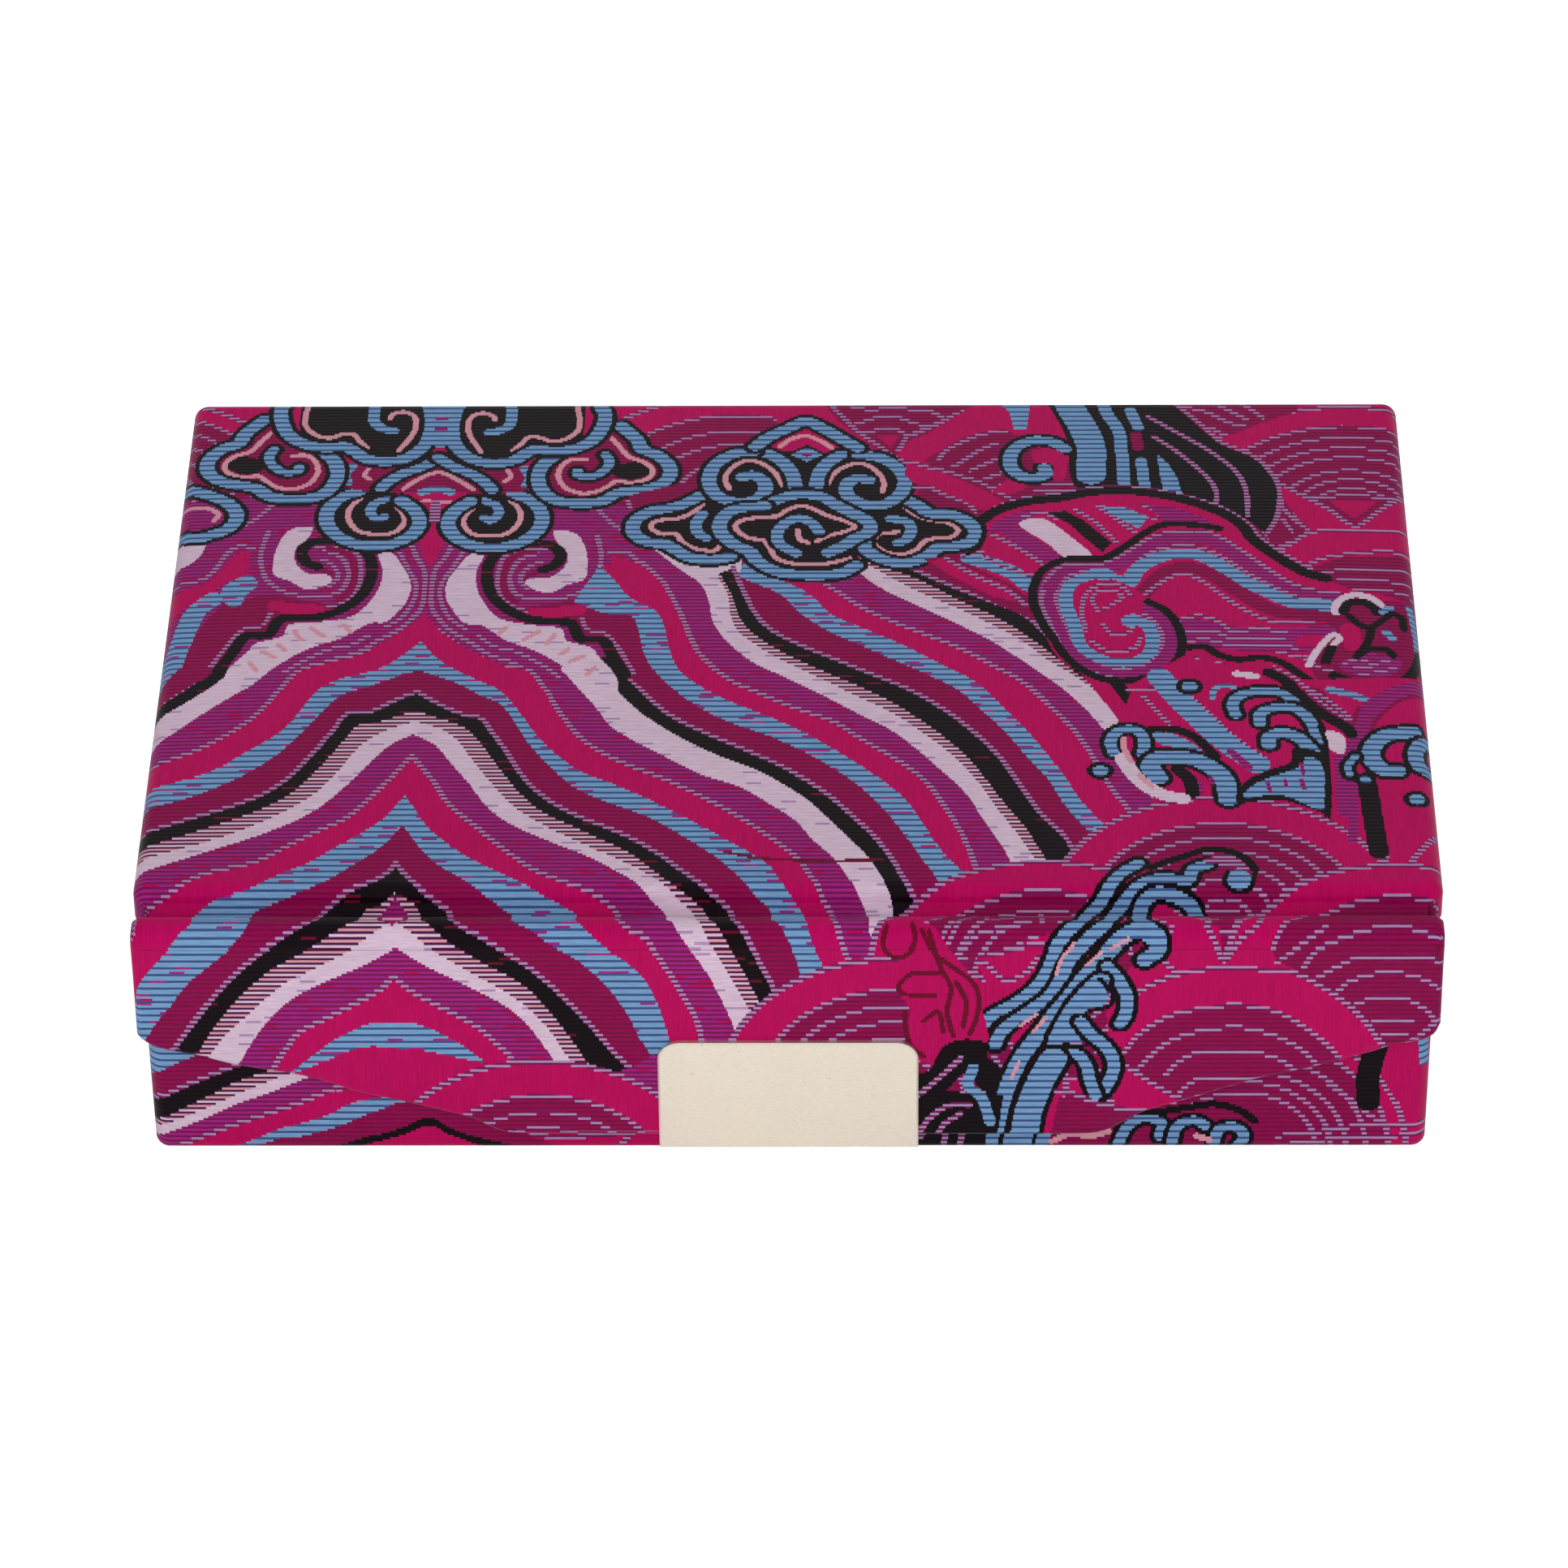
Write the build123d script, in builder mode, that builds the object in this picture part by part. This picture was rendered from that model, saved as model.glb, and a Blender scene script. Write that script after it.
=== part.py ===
"""Brocade box for cards: a boarded tray, a padded lid and a shaped front flap with a metal clasp.

Millimetres. X runs across the box, -Y is the front with the clasp, +Z is up.
The origin is on the floor under the middle of the closed box.
"""

import os

from build123d import *

# Tray, lid and flap
tray_width = 102.0
tray_depth = 68.7
tray_height = 21.4
lid_overhang = 0.5
flap_side_inset = 0.2
flap_gap = 0.3
fold_gap = 2.6

# Layers that the box is built up from
brocade = 0.4
board = 1.6
flap_board_thickness = 1.2
flap_wadding_thickness = 0.5
lid_wadding_thickness = 1.2
lid_crown = 0.4
lid_end_rise = 0.9
lining = 0.4
lining_card = 0.6
hinge_lining_thickness = 0.3

# Corners and turned edges of the brocade
board_corner = 0.8
base_edge_round = 0.6
lid_edge_round = 1.2
lid_under_round = 0.3
tray_hem = 3.0
lid_hem = 5.0
flap_hem = 3.0
lining_reveal = 1.2

# Outline of the flap, seen from the front
flap_tip_height = 3.85
flap_tip_half_width = 22.8
tip_corner_run = 3.4
tip_corner_rise = 2.0
shoulder_height = 13.6
shoulder_inset = 1.5
shoulder_rise = 1.5
flap_outline_round = 1.3
flap_crest_drop = 0.2
crest_front_round = 1.6
crest_back_round = 0.6

# Clasp
plate_width = 20.6
plate_height = 10.9
plate_thickness = 0.5
plate_lip_gap = 0.3
plate_corner = 1.8
plate_bevel = 0.15
prong_width = 2.4
prong_thickness = 0.5
prong_spread = 13.0
washer_reach = 2.0
washer_height = 2.2
washer_thickness = 0.4
washer_drop = 1.5
magnet_thickness = 0.8
magnet_gap = 0.4
magnet_edge = 0.6
keeper_edge = 1.5
keeper_thickness = 0.6
pocket_clearance = 0.05

# Cloth hinges
spine_inset = 2.0
spine_half_height = 1.5
fold_inset = 1.0
fold_sag = 0.4
fold_drop = 1.0
hinge_lining_leaf = 4.6
hinge_lining_inset = 1.0
cut_overrun = 1.0

# Heights above the floor
rim_z = tray_height
base_top_z = brocade + board
wall_top_z = rim_z - brocade
floor_top_z = base_top_z + lining_card
lining_top_z = rim_z - brocade - lining_reveal
lid_board_z = rim_z + brocade
lid_wadding_z = lid_board_z + board
lid_edge_z = lid_wadding_z + lid_wadding_thickness + brocade
flap_crest_z = lid_edge_z - flap_crest_drop
fold_z = flap_crest_z - fold_drop

# Places from front to back, with the middle of the closed box at zero
flap_thickness = lining + flap_board_thickness + flap_wadding_thickness + brocade
box_depth = tray_depth + flap_gap + flap_thickness + plate_thickness
spine_y = box_depth / 2
tray_front_y = spine_y - tray_depth
flap_back_y = tray_front_y - flap_gap
flap_board_y = flap_back_y - lining
flap_wadding_y = flap_board_y - flap_board_thickness
flap_front_y = flap_back_y - flap_thickness
lid_front_y = flap_back_y + fold_gap
fold_y = (flap_back_y + lid_front_y) / 2

# Widths that follow from those
lid_width = tray_width + 2 * lid_overhang
flap_width = lid_width - 2 * flap_side_inset
fold_width = flap_width - 2 * fold_inset
wall_inset = brocade + board
inside_inset = wall_inset + brocade
lined_inset = inside_inset + lining_card
plate_bottom_z = flap_tip_height - plate_lip_gap - plate_thickness
prong_z = plate_bottom_z + plate_height - washer_drop
washer_width = prong_spread + 2 * washer_reach
magnet_top_z = prong_z - washer_height / 2 - magnet_gap
magnet_bottom_z = flap_tip_height + brocade + magnet_edge
magnet_radius = (magnet_top_z - magnet_bottom_z) / 2
magnet_z = (magnet_top_z + magnet_bottom_z) / 2
keeper_radius = magnet_radius + keeper_edge


def slab(width, front, back, bottom, top, corner=0, mode=Mode.ADD):
    """Add or cut a level slab with round upright corners."""
    with BuildSketch(Plane.XY.offset(bottom)) as plan:
        with Locations((0, (front + back) / 2)):
            Rectangle(width, back - front)
        if corner > 0:
            fillet(plan.vertices(), corner)
    extrude(plan.sketch, amount=top - bottom, mode=mode)


def tray_slab(inset, bottom, top, corner=0, mode=Mode.ADD):
    """Add or cut a slab that lies a steady inset inside the outside of the tray."""
    slab(
        tray_width - 2 * inset,
        tray_front_y + inset,
        spine_y - inset,
        bottom,
        top,
        corner,
        mode,
    )


def lid_slab(inset, bottom, top, corner=0, mode=Mode.ADD):
    """Add or cut a slab that lies a steady inset inside the outside of the lid."""
    slab(
        lid_width - 2 * inset,
        lid_front_y + inset,
        spine_y - inset,
        bottom,
        top,
        corner,
        mode,
    )


def crowned_layer(inset, bottom, edge):
    """Make a lid layer whose top rises from its four rounded edges to the middle."""
    edge_round = lid_edge_round - inset
    top = edge + lid_crown
    end_top = edge + lid_end_rise
    half_width = lid_width / 2 - inset
    front = lid_front_y + inset
    back = spine_y - inset
    below = bottom - cut_overrun
    with BuildSketch(Plane.YZ) as side:
        with BuildLine():
            Polyline((front, edge), (front, bottom), (back, bottom), (back, edge))
            ThreePointArc((front, edge), ((front + back) / 2, top), (back, edge))
        make_face()
        fillet(side.vertices().group_by(Axis.Y)[-1], edge_round)
    extrude(side.sketch, amount=half_width + cut_overrun, both=True)
    with BuildSketch(Plane.XZ) as face:
        with BuildLine():
            Polyline((-half_width, edge), (-half_width, below), (half_width, below), (half_width, edge))
            ThreePointArc((-half_width, edge), (0, end_top), (half_width, edge))
        make_face()
        fillet(face.vertices().group_by(Axis.Y)[-1], edge_round)
    extrude(face.sketch, amount=box_depth, both=True, mode=Mode.INTERSECT)
    corner = board_corner + brocade - inset
    with BuildSketch(Plane.XY.offset(below)) as corners:
        for x in (-half_width, half_width):
            for y in (front, back):
                with Locations((x, y)):
                    Rectangle(2 * corner, 2 * corner)
        with Locations((0, (front + back) / 2)):
            RectangleRounded(2 * half_width, back - front, corner, mode=Mode.SUBTRACT)
    extrude(corners.sketch, amount=box_depth, mode=Mode.SUBTRACT)


def flap_slab(inset, front, back, mode=Mode.ADD):
    """Add or cut an upright slab with the flap's outline, a steady inset inside its edge."""
    half_width = flap_width / 2
    with BuildSketch(Plane.XZ.offset(-back)) as outline:
        with BuildLine() as edge:
            Polyline(
                (0, flap_crest_z),
                (half_width, flap_crest_z),
                (half_width, shoulder_height + shoulder_rise),
                (half_width - shoulder_inset, shoulder_height),
                (flap_tip_half_width + tip_corner_run, flap_tip_height + tip_corner_rise),
                (flap_tip_half_width, flap_tip_height),
                (0, flap_tip_height),
            )
            mirror(edge.line, about=Plane.YZ)
        make_face()
        corners = outline.vertices().filter_by(lambda v: abs(v.X) > 0 and v.Y < flap_crest_z)
        fillet(corners, flap_outline_round)
        if inset > 0:
            offset(amount=-inset, kind=Kind.INTERSECTION, mode=Mode.REPLACE)
    extrude(outline.sketch, amount=back - front, mode=mode)


def round_crest(flap, inset):
    """Round the two long top edges of a flap layer that lies a steady inset inside the cloth."""
    crest = flap.edges().filter_by(Axis.X).group_by(Axis.Z)[-1].sort_by(Axis.Y)
    fillet(crest[0], crest_front_round - inset)
    crest = flap.edges().filter_by(Axis.X).group_by(Axis.Z)[-1].sort_by(Axis.Y)
    fillet(crest[-1], crest_back_round - inset)


def prong_slots(front, back, clearance, mode=Mode.SUBTRACT):
    """Add or cut the two tongues that hold the clasp plate, between two depths of the flap."""
    with BuildSketch(Plane.XZ.offset(-back)) as tongues:
        with Locations((-prong_spread / 2, prong_z), (prong_spread / 2, prong_z)):
            Rectangle(prong_width + 2 * clearance, prong_thickness + 2 * clearance)
    extrude(tongues.sketch, amount=back - front, mode=mode)


def clasp_disc(radius, front, back, mode=Mode.ADD):
    """Add or cut a disc on the axis of the magnet, between two depths."""
    with BuildSketch(Plane.XZ.offset(-back)) as disc:
        with Locations((0, magnet_z)):
            Circle(radius)
    extrude(disc.sketch, amount=back - front, mode=mode)


def fold_strip(upper, lower):
    """Make the cloth across the front fold, a little sunk between the lid and the flap."""
    with BuildSketch(Plane.YZ) as section:
        with BuildLine():
            ThreePointArc((flap_back_y, upper), (fold_y, upper - fold_sag), (lid_front_y, upper))
            Line((lid_front_y, upper), (lid_front_y, lower))
            ThreePointArc((lid_front_y, lower), (fold_y, lower - fold_sag), (flap_back_y, lower))
            Line((flap_back_y, lower), (flap_back_y, upper))
        make_face()
    extrude(section.sketch, amount=fold_width / 2, both=True)


# Boards of the tray
with BuildPart() as base_board:
    tray_slab(brocade, brocade, base_top_z, board_corner)
    fillet(base_board.faces().sort_by(Axis.Z)[0].edges(), base_edge_round)
base_board.part.label = "base_board"

keeper_back_y = tray_front_y + brocade + keeper_thickness
with BuildPart() as front_wall_board:
    slab(
        tray_width - 2 * wall_inset,
        tray_front_y + brocade,
        tray_front_y + wall_inset,
        base_top_z,
        wall_top_z,
    )
    clasp_disc(keeper_radius + pocket_clearance, tray_front_y, keeper_back_y, mode=Mode.SUBTRACT)
front_wall_board.part.label = "front_wall_board"

with BuildPart() as back_wall_board:
    slab(tray_width - 2 * wall_inset, spine_y - wall_inset, spine_y - brocade, base_top_z, wall_top_z)
back_wall_board.part.label = "back_wall_board"

wall_center_x = (tray_width - wall_inset - brocade) / 2
with BuildPart() as left_wall_board:
    with BuildSketch(Plane.XY.offset(base_top_z)) as left_plan:
        with Locations((-wall_center_x, (tray_front_y + spine_y) / 2)):
            Rectangle(board, tray_depth - 2 * brocade)
        fillet(left_plan.vertices().group_by(Axis.X)[0], board_corner)
    extrude(amount=wall_top_z - base_top_z)
left_wall_board.part.label = "left_wall_board"

with BuildPart() as right_wall_board:
    mirror(left_wall_board.part, about=Plane.YZ)
right_wall_board.part.label = "right_wall_board"

# Steel disc let into the front wall, which the magnet holds
with BuildPart() as keeper_plate:
    clasp_disc(keeper_radius, tray_front_y + brocade, keeper_back_y)
keeper_plate.part.label = "keeper_plate"

# Brocade round the tray, turned over the rim and under the base
spine_bottom_z = rim_z - spine_half_height
spine_width = tray_width - 2 * spine_inset
with BuildPart() as tray_cover:
    tray_slab(0, 0, rim_z, board_corner + brocade)
    fillet(tray_cover.faces().sort_by(Axis.Z)[0].edges(), base_edge_round + brocade / 2)
    tray_slab(brocade, base_top_z, wall_top_z, board_corner, mode=Mode.SUBTRACT)
    add(base_board.part, mode=Mode.SUBTRACT)
    tray_slab(inside_inset, wall_top_z, rim_z, mode=Mode.SUBTRACT)
    tray_slab(tray_hem, 0, brocade, mode=Mode.SUBTRACT)
    tray_slab(wall_inset, base_top_z, wall_top_z)
    tray_slab(inside_inset, base_top_z, wall_top_z, mode=Mode.SUBTRACT)
    slab(spine_width, spine_y - brocade, spine_y, spine_bottom_z, rim_z, mode=Mode.SUBTRACT)
tray_cover.part.label = "tray_cover"

# Sheet that closes the underside inside the hem
with BuildPart() as bottom_sheet:
    tray_slab(tray_hem, 0, brocade)
bottom_sheet.part.label = "bottom_sheet"

# Lined cards inside the tray
with BuildPart() as floor_lining:
    tray_slab(inside_inset, base_top_z, floor_top_z)
floor_lining.part.label = "floor_lining"

inside_width = tray_width - 2 * inside_inset
with BuildPart() as front_lining:
    slab(
        inside_width,
        tray_front_y + inside_inset,
        tray_front_y + lined_inset,
        floor_top_z,
        lining_top_z,
    )
front_lining.part.label = "front_lining"

with BuildPart() as back_lining:
    slab(inside_width, spine_y - lined_inset, spine_y - inside_inset, floor_top_z, lining_top_z)
back_lining.part.label = "back_lining"

side_lining_x = (inside_width - lining_card) / 2
with BuildPart() as left_lining:
    with BuildSketch(Plane.XY.offset(floor_top_z)):
        with Locations((-side_lining_x, (tray_front_y + spine_y) / 2)):
            Rectangle(lining_card, tray_depth - 2 * lined_inset)
    extrude(amount=lining_top_z - floor_top_z)
left_lining.part.label = "left_lining"

with BuildPart() as right_lining:
    mirror(left_lining.part, about=Plane.YZ)
right_lining.part.label = "right_lining"

# Lid: board, crowned wadding, brocade turned under the edges, and lining
with BuildPart() as lid_board:
    lid_slab(brocade, lid_board_z, lid_wadding_z, board_corner)
lid_board.part.label = "lid_board"

with BuildPart() as lid_wadding:
    crowned_layer(brocade, lid_wadding_z, lid_edge_z - brocade)
lid_wadding.part.label = "lid_wadding"

spine_top_z = rim_z + spine_half_height
with BuildPart() as lid_cover:
    crowned_layer(0, rim_z, lid_edge_z)
    fillet(lid_cover.faces().sort_by(Axis.Z)[0].edges(), lid_under_round)
    add([lid_board.part, lid_wadding.part], mode=Mode.SUBTRACT)
    lid_slab(lid_hem, rim_z, lid_board_z, mode=Mode.SUBTRACT)
    slab(spine_width, spine_y - brocade, spine_y, rim_z, spine_top_z, mode=Mode.SUBTRACT)
lid_cover.part.label = "lid_cover"

with BuildPart() as lid_lining:
    lid_slab(lid_hem, lid_board_z - lining, lid_board_z)
lid_lining.part.label = "lid_lining"

# Clasp on the flap
with BuildPart() as clasp_plate:
    with BuildSketch(Plane.XZ.offset(-flap_front_y)) as plate_face:
        with Locations((0, plate_bottom_z + plate_height / 2)):
            Rectangle(plate_width, plate_height)
        fillet(plate_face.vertices().group_by(Axis.Y)[-1], plate_corner)
    extrude(amount=plate_thickness)
    chamfer(clasp_plate.faces().sort_by(Axis.Y)[0].edges(), plate_bevel)
    slab(plate_width, flap_front_y, flap_back_y, plate_bottom_z, plate_bottom_z + plate_thickness)
    prong_slots(flap_front_y, flap_board_y, 0, mode=Mode.ADD)
clasp_plate.part.label = "clasp_plate"

with BuildPart() as clasp_washer:
    with BuildSketch(Plane.XZ.offset(-flap_board_y)):
        with Locations((0, prong_z)):
            SlotOverall(washer_width, washer_height)
    extrude(amount=washer_thickness)
    prong_slots(flap_front_y, flap_board_y, pocket_clearance)
clasp_washer.part.label = "clasp_washer"

magnet_front_y = flap_board_y - magnet_thickness
with BuildPart() as clasp_magnet:
    clasp_disc(magnet_radius, magnet_front_y, flap_board_y)
clasp_magnet.part.label = "clasp_magnet"

# Flap: board and wadding cut from one rounded core, then the brocade round it, and lining
wadding_front_y = flap_front_y + brocade
wadding_face = Plane.XZ.offset(-flap_wadding_y)
with BuildPart() as flap_core:
    flap_slab(brocade, wadding_front_y, flap_board_y)
    round_crest(flap_core, brocade)

with BuildPart() as flap_board:
    add(flap_core.part)
    split(bisect_by=wadding_face, keep=Keep.BOTTOM)
    with BuildSketch(Plane.XZ.offset(-flap_board_y)):
        with Locations((0, prong_z)):
            SlotOverall(washer_width + 2 * pocket_clearance, washer_height + 2 * pocket_clearance)
    extrude(amount=washer_thickness, mode=Mode.SUBTRACT)
    prong_slots(flap_wadding_y, flap_board_y, pocket_clearance)
    clasp_disc(magnet_radius + pocket_clearance, magnet_front_y, flap_board_y, mode=Mode.SUBTRACT)
flap_board.part.label = "flap_board"

with BuildPart() as flap_wadding:
    add(flap_core.part)
    split(bisect_by=wadding_face, keep=Keep.TOP)
    prong_slots(wadding_front_y, flap_wadding_y, pocket_clearance)
flap_wadding.part.label = "flap_wadding"

with BuildPart() as flap_lining:
    flap_slab(flap_hem, flap_board_y, flap_back_y)
flap_lining.part.label = "flap_lining"

with BuildPart() as flap_cover:
    flap_slab(0, flap_front_y, flap_back_y)
    round_crest(flap_cover, 0)
    add(flap_core.part, mode=Mode.SUBTRACT)
    flap_slab(flap_hem, flap_board_y, flap_back_y, mode=Mode.SUBTRACT)
    prong_slots(flap_front_y, wadding_front_y, pocket_clearance)
flap_cover.part.label = "flap_cover"

# Cloth across the front fold, outside and inside
with BuildPart() as fold_cover:
    fold_strip(fold_z, fold_z - brocade)
fold_cover.part.label = "fold_cover"

with BuildPart() as fold_lining:
    fold_strip(fold_z - brocade, fold_z - brocade - hinge_lining_thickness)
fold_lining.part.label = "fold_lining"

# Cloth across the spine, outside and inside
with BuildPart() as spine_cover:
    slab(spine_width, spine_y - brocade, spine_y, spine_bottom_z, spine_top_z)
spine_cover.part.label = "spine_cover"

hinge_lining_y = spine_y - inside_inset
hinge_lining_width = inside_width - 2 * hinge_lining_inset
with BuildPart() as spine_lining:
    slab(
        hinge_lining_width,
        hinge_lining_y - hinge_lining_thickness,
        hinge_lining_y,
        lining_top_z,
        rim_z,
    )
    slab(
        hinge_lining_width,
        hinge_lining_y - hinge_lining_leaf,
        hinge_lining_y,
        rim_z - hinge_lining_thickness,
        rim_z,
    )
spine_lining.part.label = "spine_lining"

pieces = [
    base_board,
    front_wall_board,
    back_wall_board,
    left_wall_board,
    right_wall_board,
    keeper_plate,
    tray_cover,
    bottom_sheet,
    floor_lining,
    front_lining,
    back_lining,
    left_lining,
    right_lining,
    lid_board,
    lid_wadding,
    lid_cover,
    lid_lining,
    flap_board,
    flap_wadding,
    flap_cover,
    flap_lining,
    clasp_plate,
    clasp_washer,
    clasp_magnet,
    fold_cover,
    fold_lining,
    spine_cover,
    spine_lining,
]

os.makedirs("parts", exist_ok=True)
for piece in pieces:
    export_step(piece.part, f"parts/{piece.part.label}.step")
    print(piece.part.label, round(piece.part.volume, 1))

print("hinge of the lid at", (0, spine_y, rim_z))
print("hinge of the flap at", (0, fold_y, fold_z - fold_sag))
print("inside of the tray", inside_width - 2 * lining_card, tray_depth - 2 * lined_inset, rim_z - floor_top_z)
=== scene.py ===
# %% [markdown]
# This is a small flat keepsake box of card, covered in figured silk brocade.
# The imported CAD part is the frame that everything is built around, so it is loaded first.

# %% Load the frame
import math

import bpy
import numpy as np
from mathutils import Matrix, Vector


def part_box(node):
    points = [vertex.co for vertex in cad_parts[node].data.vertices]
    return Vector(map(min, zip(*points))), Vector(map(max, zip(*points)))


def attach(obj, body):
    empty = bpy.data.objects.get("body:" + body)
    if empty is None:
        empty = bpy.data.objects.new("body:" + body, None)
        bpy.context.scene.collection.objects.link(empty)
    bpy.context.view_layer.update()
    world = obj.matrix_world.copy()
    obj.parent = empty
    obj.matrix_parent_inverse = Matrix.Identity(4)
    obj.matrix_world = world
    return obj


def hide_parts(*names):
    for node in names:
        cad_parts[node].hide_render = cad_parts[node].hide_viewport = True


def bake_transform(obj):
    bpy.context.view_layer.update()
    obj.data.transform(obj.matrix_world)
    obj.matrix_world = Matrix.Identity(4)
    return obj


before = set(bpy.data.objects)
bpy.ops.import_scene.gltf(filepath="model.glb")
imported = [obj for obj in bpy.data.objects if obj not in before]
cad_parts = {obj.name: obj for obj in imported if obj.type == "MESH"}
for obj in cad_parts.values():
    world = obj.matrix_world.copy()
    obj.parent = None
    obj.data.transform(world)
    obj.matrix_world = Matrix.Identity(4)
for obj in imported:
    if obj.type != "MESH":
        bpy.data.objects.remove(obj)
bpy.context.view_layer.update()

MM = 0.001


def added(name, data):
    """A new object in the scene, made of its data."""
    made = bpy.data.objects.new(name, data)
    bpy.context.scene.collection.objects.link(made)
    return made


# %% [markdown]
# The camera comes early, because every other choice is judged through it.
# The photograph was taken with a long lens from in front and well above, a touch from the right.
# Three angles, a distance and a focal length describe that, and the camera's axes follow from them.

# %% Camera
PITCH, YAW, ROLL = np.radians([38.464, 1.042, -0.730])
EYE = np.array([7.64, -457.48, 375.01])
FOCAL_PIXELS, FRAME_PIXELS = 8678.8, 1932
SENSOR = 36.0


def turned(vector):
    """A direction turned by the yaw about the upright axis."""
    x, y, z = vector
    return np.array([x * math.cos(YAW) - y * math.sin(YAW), x * math.sin(YAW) + y * math.cos(YAW), z])


ahead = turned((0, math.cos(PITCH), -math.sin(PITCH)))
up = turned((0, math.sin(PITCH), math.cos(PITCH)))
right = turned((1, 0, 0))
right, up = math.cos(ROLL) * right + math.sin(ROLL) * up, math.cos(ROLL) * up - math.sin(ROLL) * right
camera = added("camera", bpy.data.cameras.new("camera"))
camera.data.sensor_width = SENSOR
camera.data.lens = FOCAL_PIXELS / FRAME_PIXELS * SENSOR
camera.data.clip_start, camera.data.clip_end = 0.05, 20
axes = np.eye(4)
axes[:3, 0], axes[:3, 1], axes[:3, 2], axes[:3, 3] = right, up, -ahead, EYE * MM
camera.matrix_world = Matrix(axes.tolist())
bpy.context.scene.camera = camera
bpy.context.scene.view_settings.view_transform = "Standard"
print("lens in mm", round(camera.data.lens, 1))

# %% [markdown]
# Shader sums read best as plain formulas. A small class wraps a node's output, so that
# `a * 2 + b` adds the Math nodes that work it out, and `1 - a` works too.
# One method adds any other node: its settings are made first, then its inputs.

# %% Shader formulas
class Value:
    """A number that changes over a surface: an output of a node in the tree it belongs to."""

    def __init__(self, paint, output):
        self.paint, self.output = paint, output

    def _math(self, operation, *values):
        return self.paint.node("ShaderNodeMath", {"operation": operation}, dict(enumerate(values)))

    def __add__(self, other):
        return self._math("ADD", self, other)

    def __mul__(self, other):
        return self._math("MULTIPLY", self, other)

    def __sub__(self, other):
        return self._math("SUBTRACT", self, other)

    def __rsub__(self, other):
        return self._math("SUBTRACT", other, self)

    def __truediv__(self, other):
        return self._math("DIVIDE", self, other)

    __radd__, __rmul__ = __add__, __mul__

    def sine(self):
        return self._math("SINE", self)

    def limited(self):
        return self.paint.node("ShaderNodeClamp", {}, {"Value": self})

    def between(self, low, high):
        """0 below low, 1 above high, and a smooth step from one to the other."""
        inputs = {"Value": self, "From Min": low, "From Max": high}
        return self.paint.node("ShaderNodeMapRange", {"interpolation_type": "SMOOTHSTEP"}, inputs)


class Paint:
    """One material and the nodes in it."""

    def __init__(self, name, **constants):
        self.material = bpy.data.materials.new(name)
        self.material.use_nodes = True
        self.nodes, self.links = self.material.node_tree.nodes, self.material.node_tree.links
        self.shader = next(n for n in self.nodes if n.type == "BSDF_PRINCIPLED")
        for socket, value in constants.items():
            self.shader.inputs[socket.replace("_", " ")].default_value = value

    def node(self, kind, settings=None, inputs=None, out=0):
        """Add a node of a kind, make its settings, then give its inputs their values or links."""
        made = self.nodes.new(kind)
        for key, value in (settings or {}).items():
            if key == "stops":
                ramp = made.color_ramp
                while len(ramp.elements) < len(value):
                    ramp.elements.new(0.5)
                for element, (place, colour) in zip(ramp.elements, value):
                    element.position, element.color = place, colour
            elif key == "interpolation":
                made.color_ramp.interpolation = value
            else:
                setattr(made, key, value)
        for key, value in (inputs or {}).items():
            self.feed(made.inputs[key], value)
        return Value(self, made.outputs[out])

    def feed(self, socket, value):
        if isinstance(value, Value):
            self.links.new(value.output, socket)
        else:
            socket.default_value = value

    def set(self, **sockets):
        for name, value in sockets.items():
            self.feed(self.shader.inputs[name.replace("_", " ")], value)
        return self.material

    def noise(self, vector, scale, detail, rough):
        settings = {"Vector": vector, "Scale": scale, "Detail": detail, "Roughness": rough}
        return self.node("ShaderNodeTexNoise", {}, settings)

    def mix(self, share, a, b, how="MIX"):
        settings = {"data_type": "RGBA", "blend_type": how, "clamp_factor": True}
        return self.node("ShaderNodeMix", settings, {0: share, 6: a, 7: b}, out=2)

    def bump(self, height, distance, strength):
        return self.node("ShaderNodeBump", {}, {"Height": height, "Distance": distance, "Strength": strength})

    def stretched(self, vector, scale):
        return self.node("ShaderNodeMapping", {}, {"Vector": vector, "Scale": scale})


def dye(red, green, blue):
    """A colour as seen on a screen, 0 to 255, as the linear colour that a shader wants."""
    seen = np.array([red, green, blue]) / 255
    linear = np.where(seen < 0.04045, seen / 12.92, ((seen + 0.055) / 1.055) ** 2.4)
    return (*map(float, linear), 1.0)


print("mid grey on a screen is", round(dye(128, 128, 128)[0], 3), "of white in linear light")

# %% [markdown]
# Brocade is woven from squared paper, which a weaver calls a cartoon: one square for each
# crossing, with a yarn number in it. The cartoon here is a numpy array. A line of weft is
# 0.23 mm and a step along it is 0.1 mm, which gives the fine stepped edges that figured silk
# shows under a lens.
# The figures are drawn with smooth curves through a few points each, in millimetres of flat cloth.

# %% Yarns
CRIMSON, WINE, PURPLE, LAVENDER, BLUE, BLACK, WHITE, TEETH, PEACH = range(9)
WINE_LINE, PURPLE_LINE, BLUE_LINE, FLECK, REVERSE, GOLD = range(9, 15)
DYES = {
    CRIMSON: (194, 5, 94),
    WINE: (154, 8, 86),
    PURPLE: (172, 36, 134),
    LAVENDER: (182, 146, 192),
    BLUE: (124, 168, 210),
    BLACK: (16, 6, 13),
    WHITE: (228, 200, 222),
    TEETH: (86, 26, 74),
    PEACH: (226, 158, 174),
    WINE_LINE: (128, 8, 66),
    PURPLE_LINE: (124, 22, 88),
    BLUE_LINE: (66, 86, 142),
    FLECK: (112, 10, 44),
    REVERSE: (120, 20, 70),
    GOLD: (214, 170, 84),
}
STEP, WEFT = 0.1, 0.23
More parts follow.
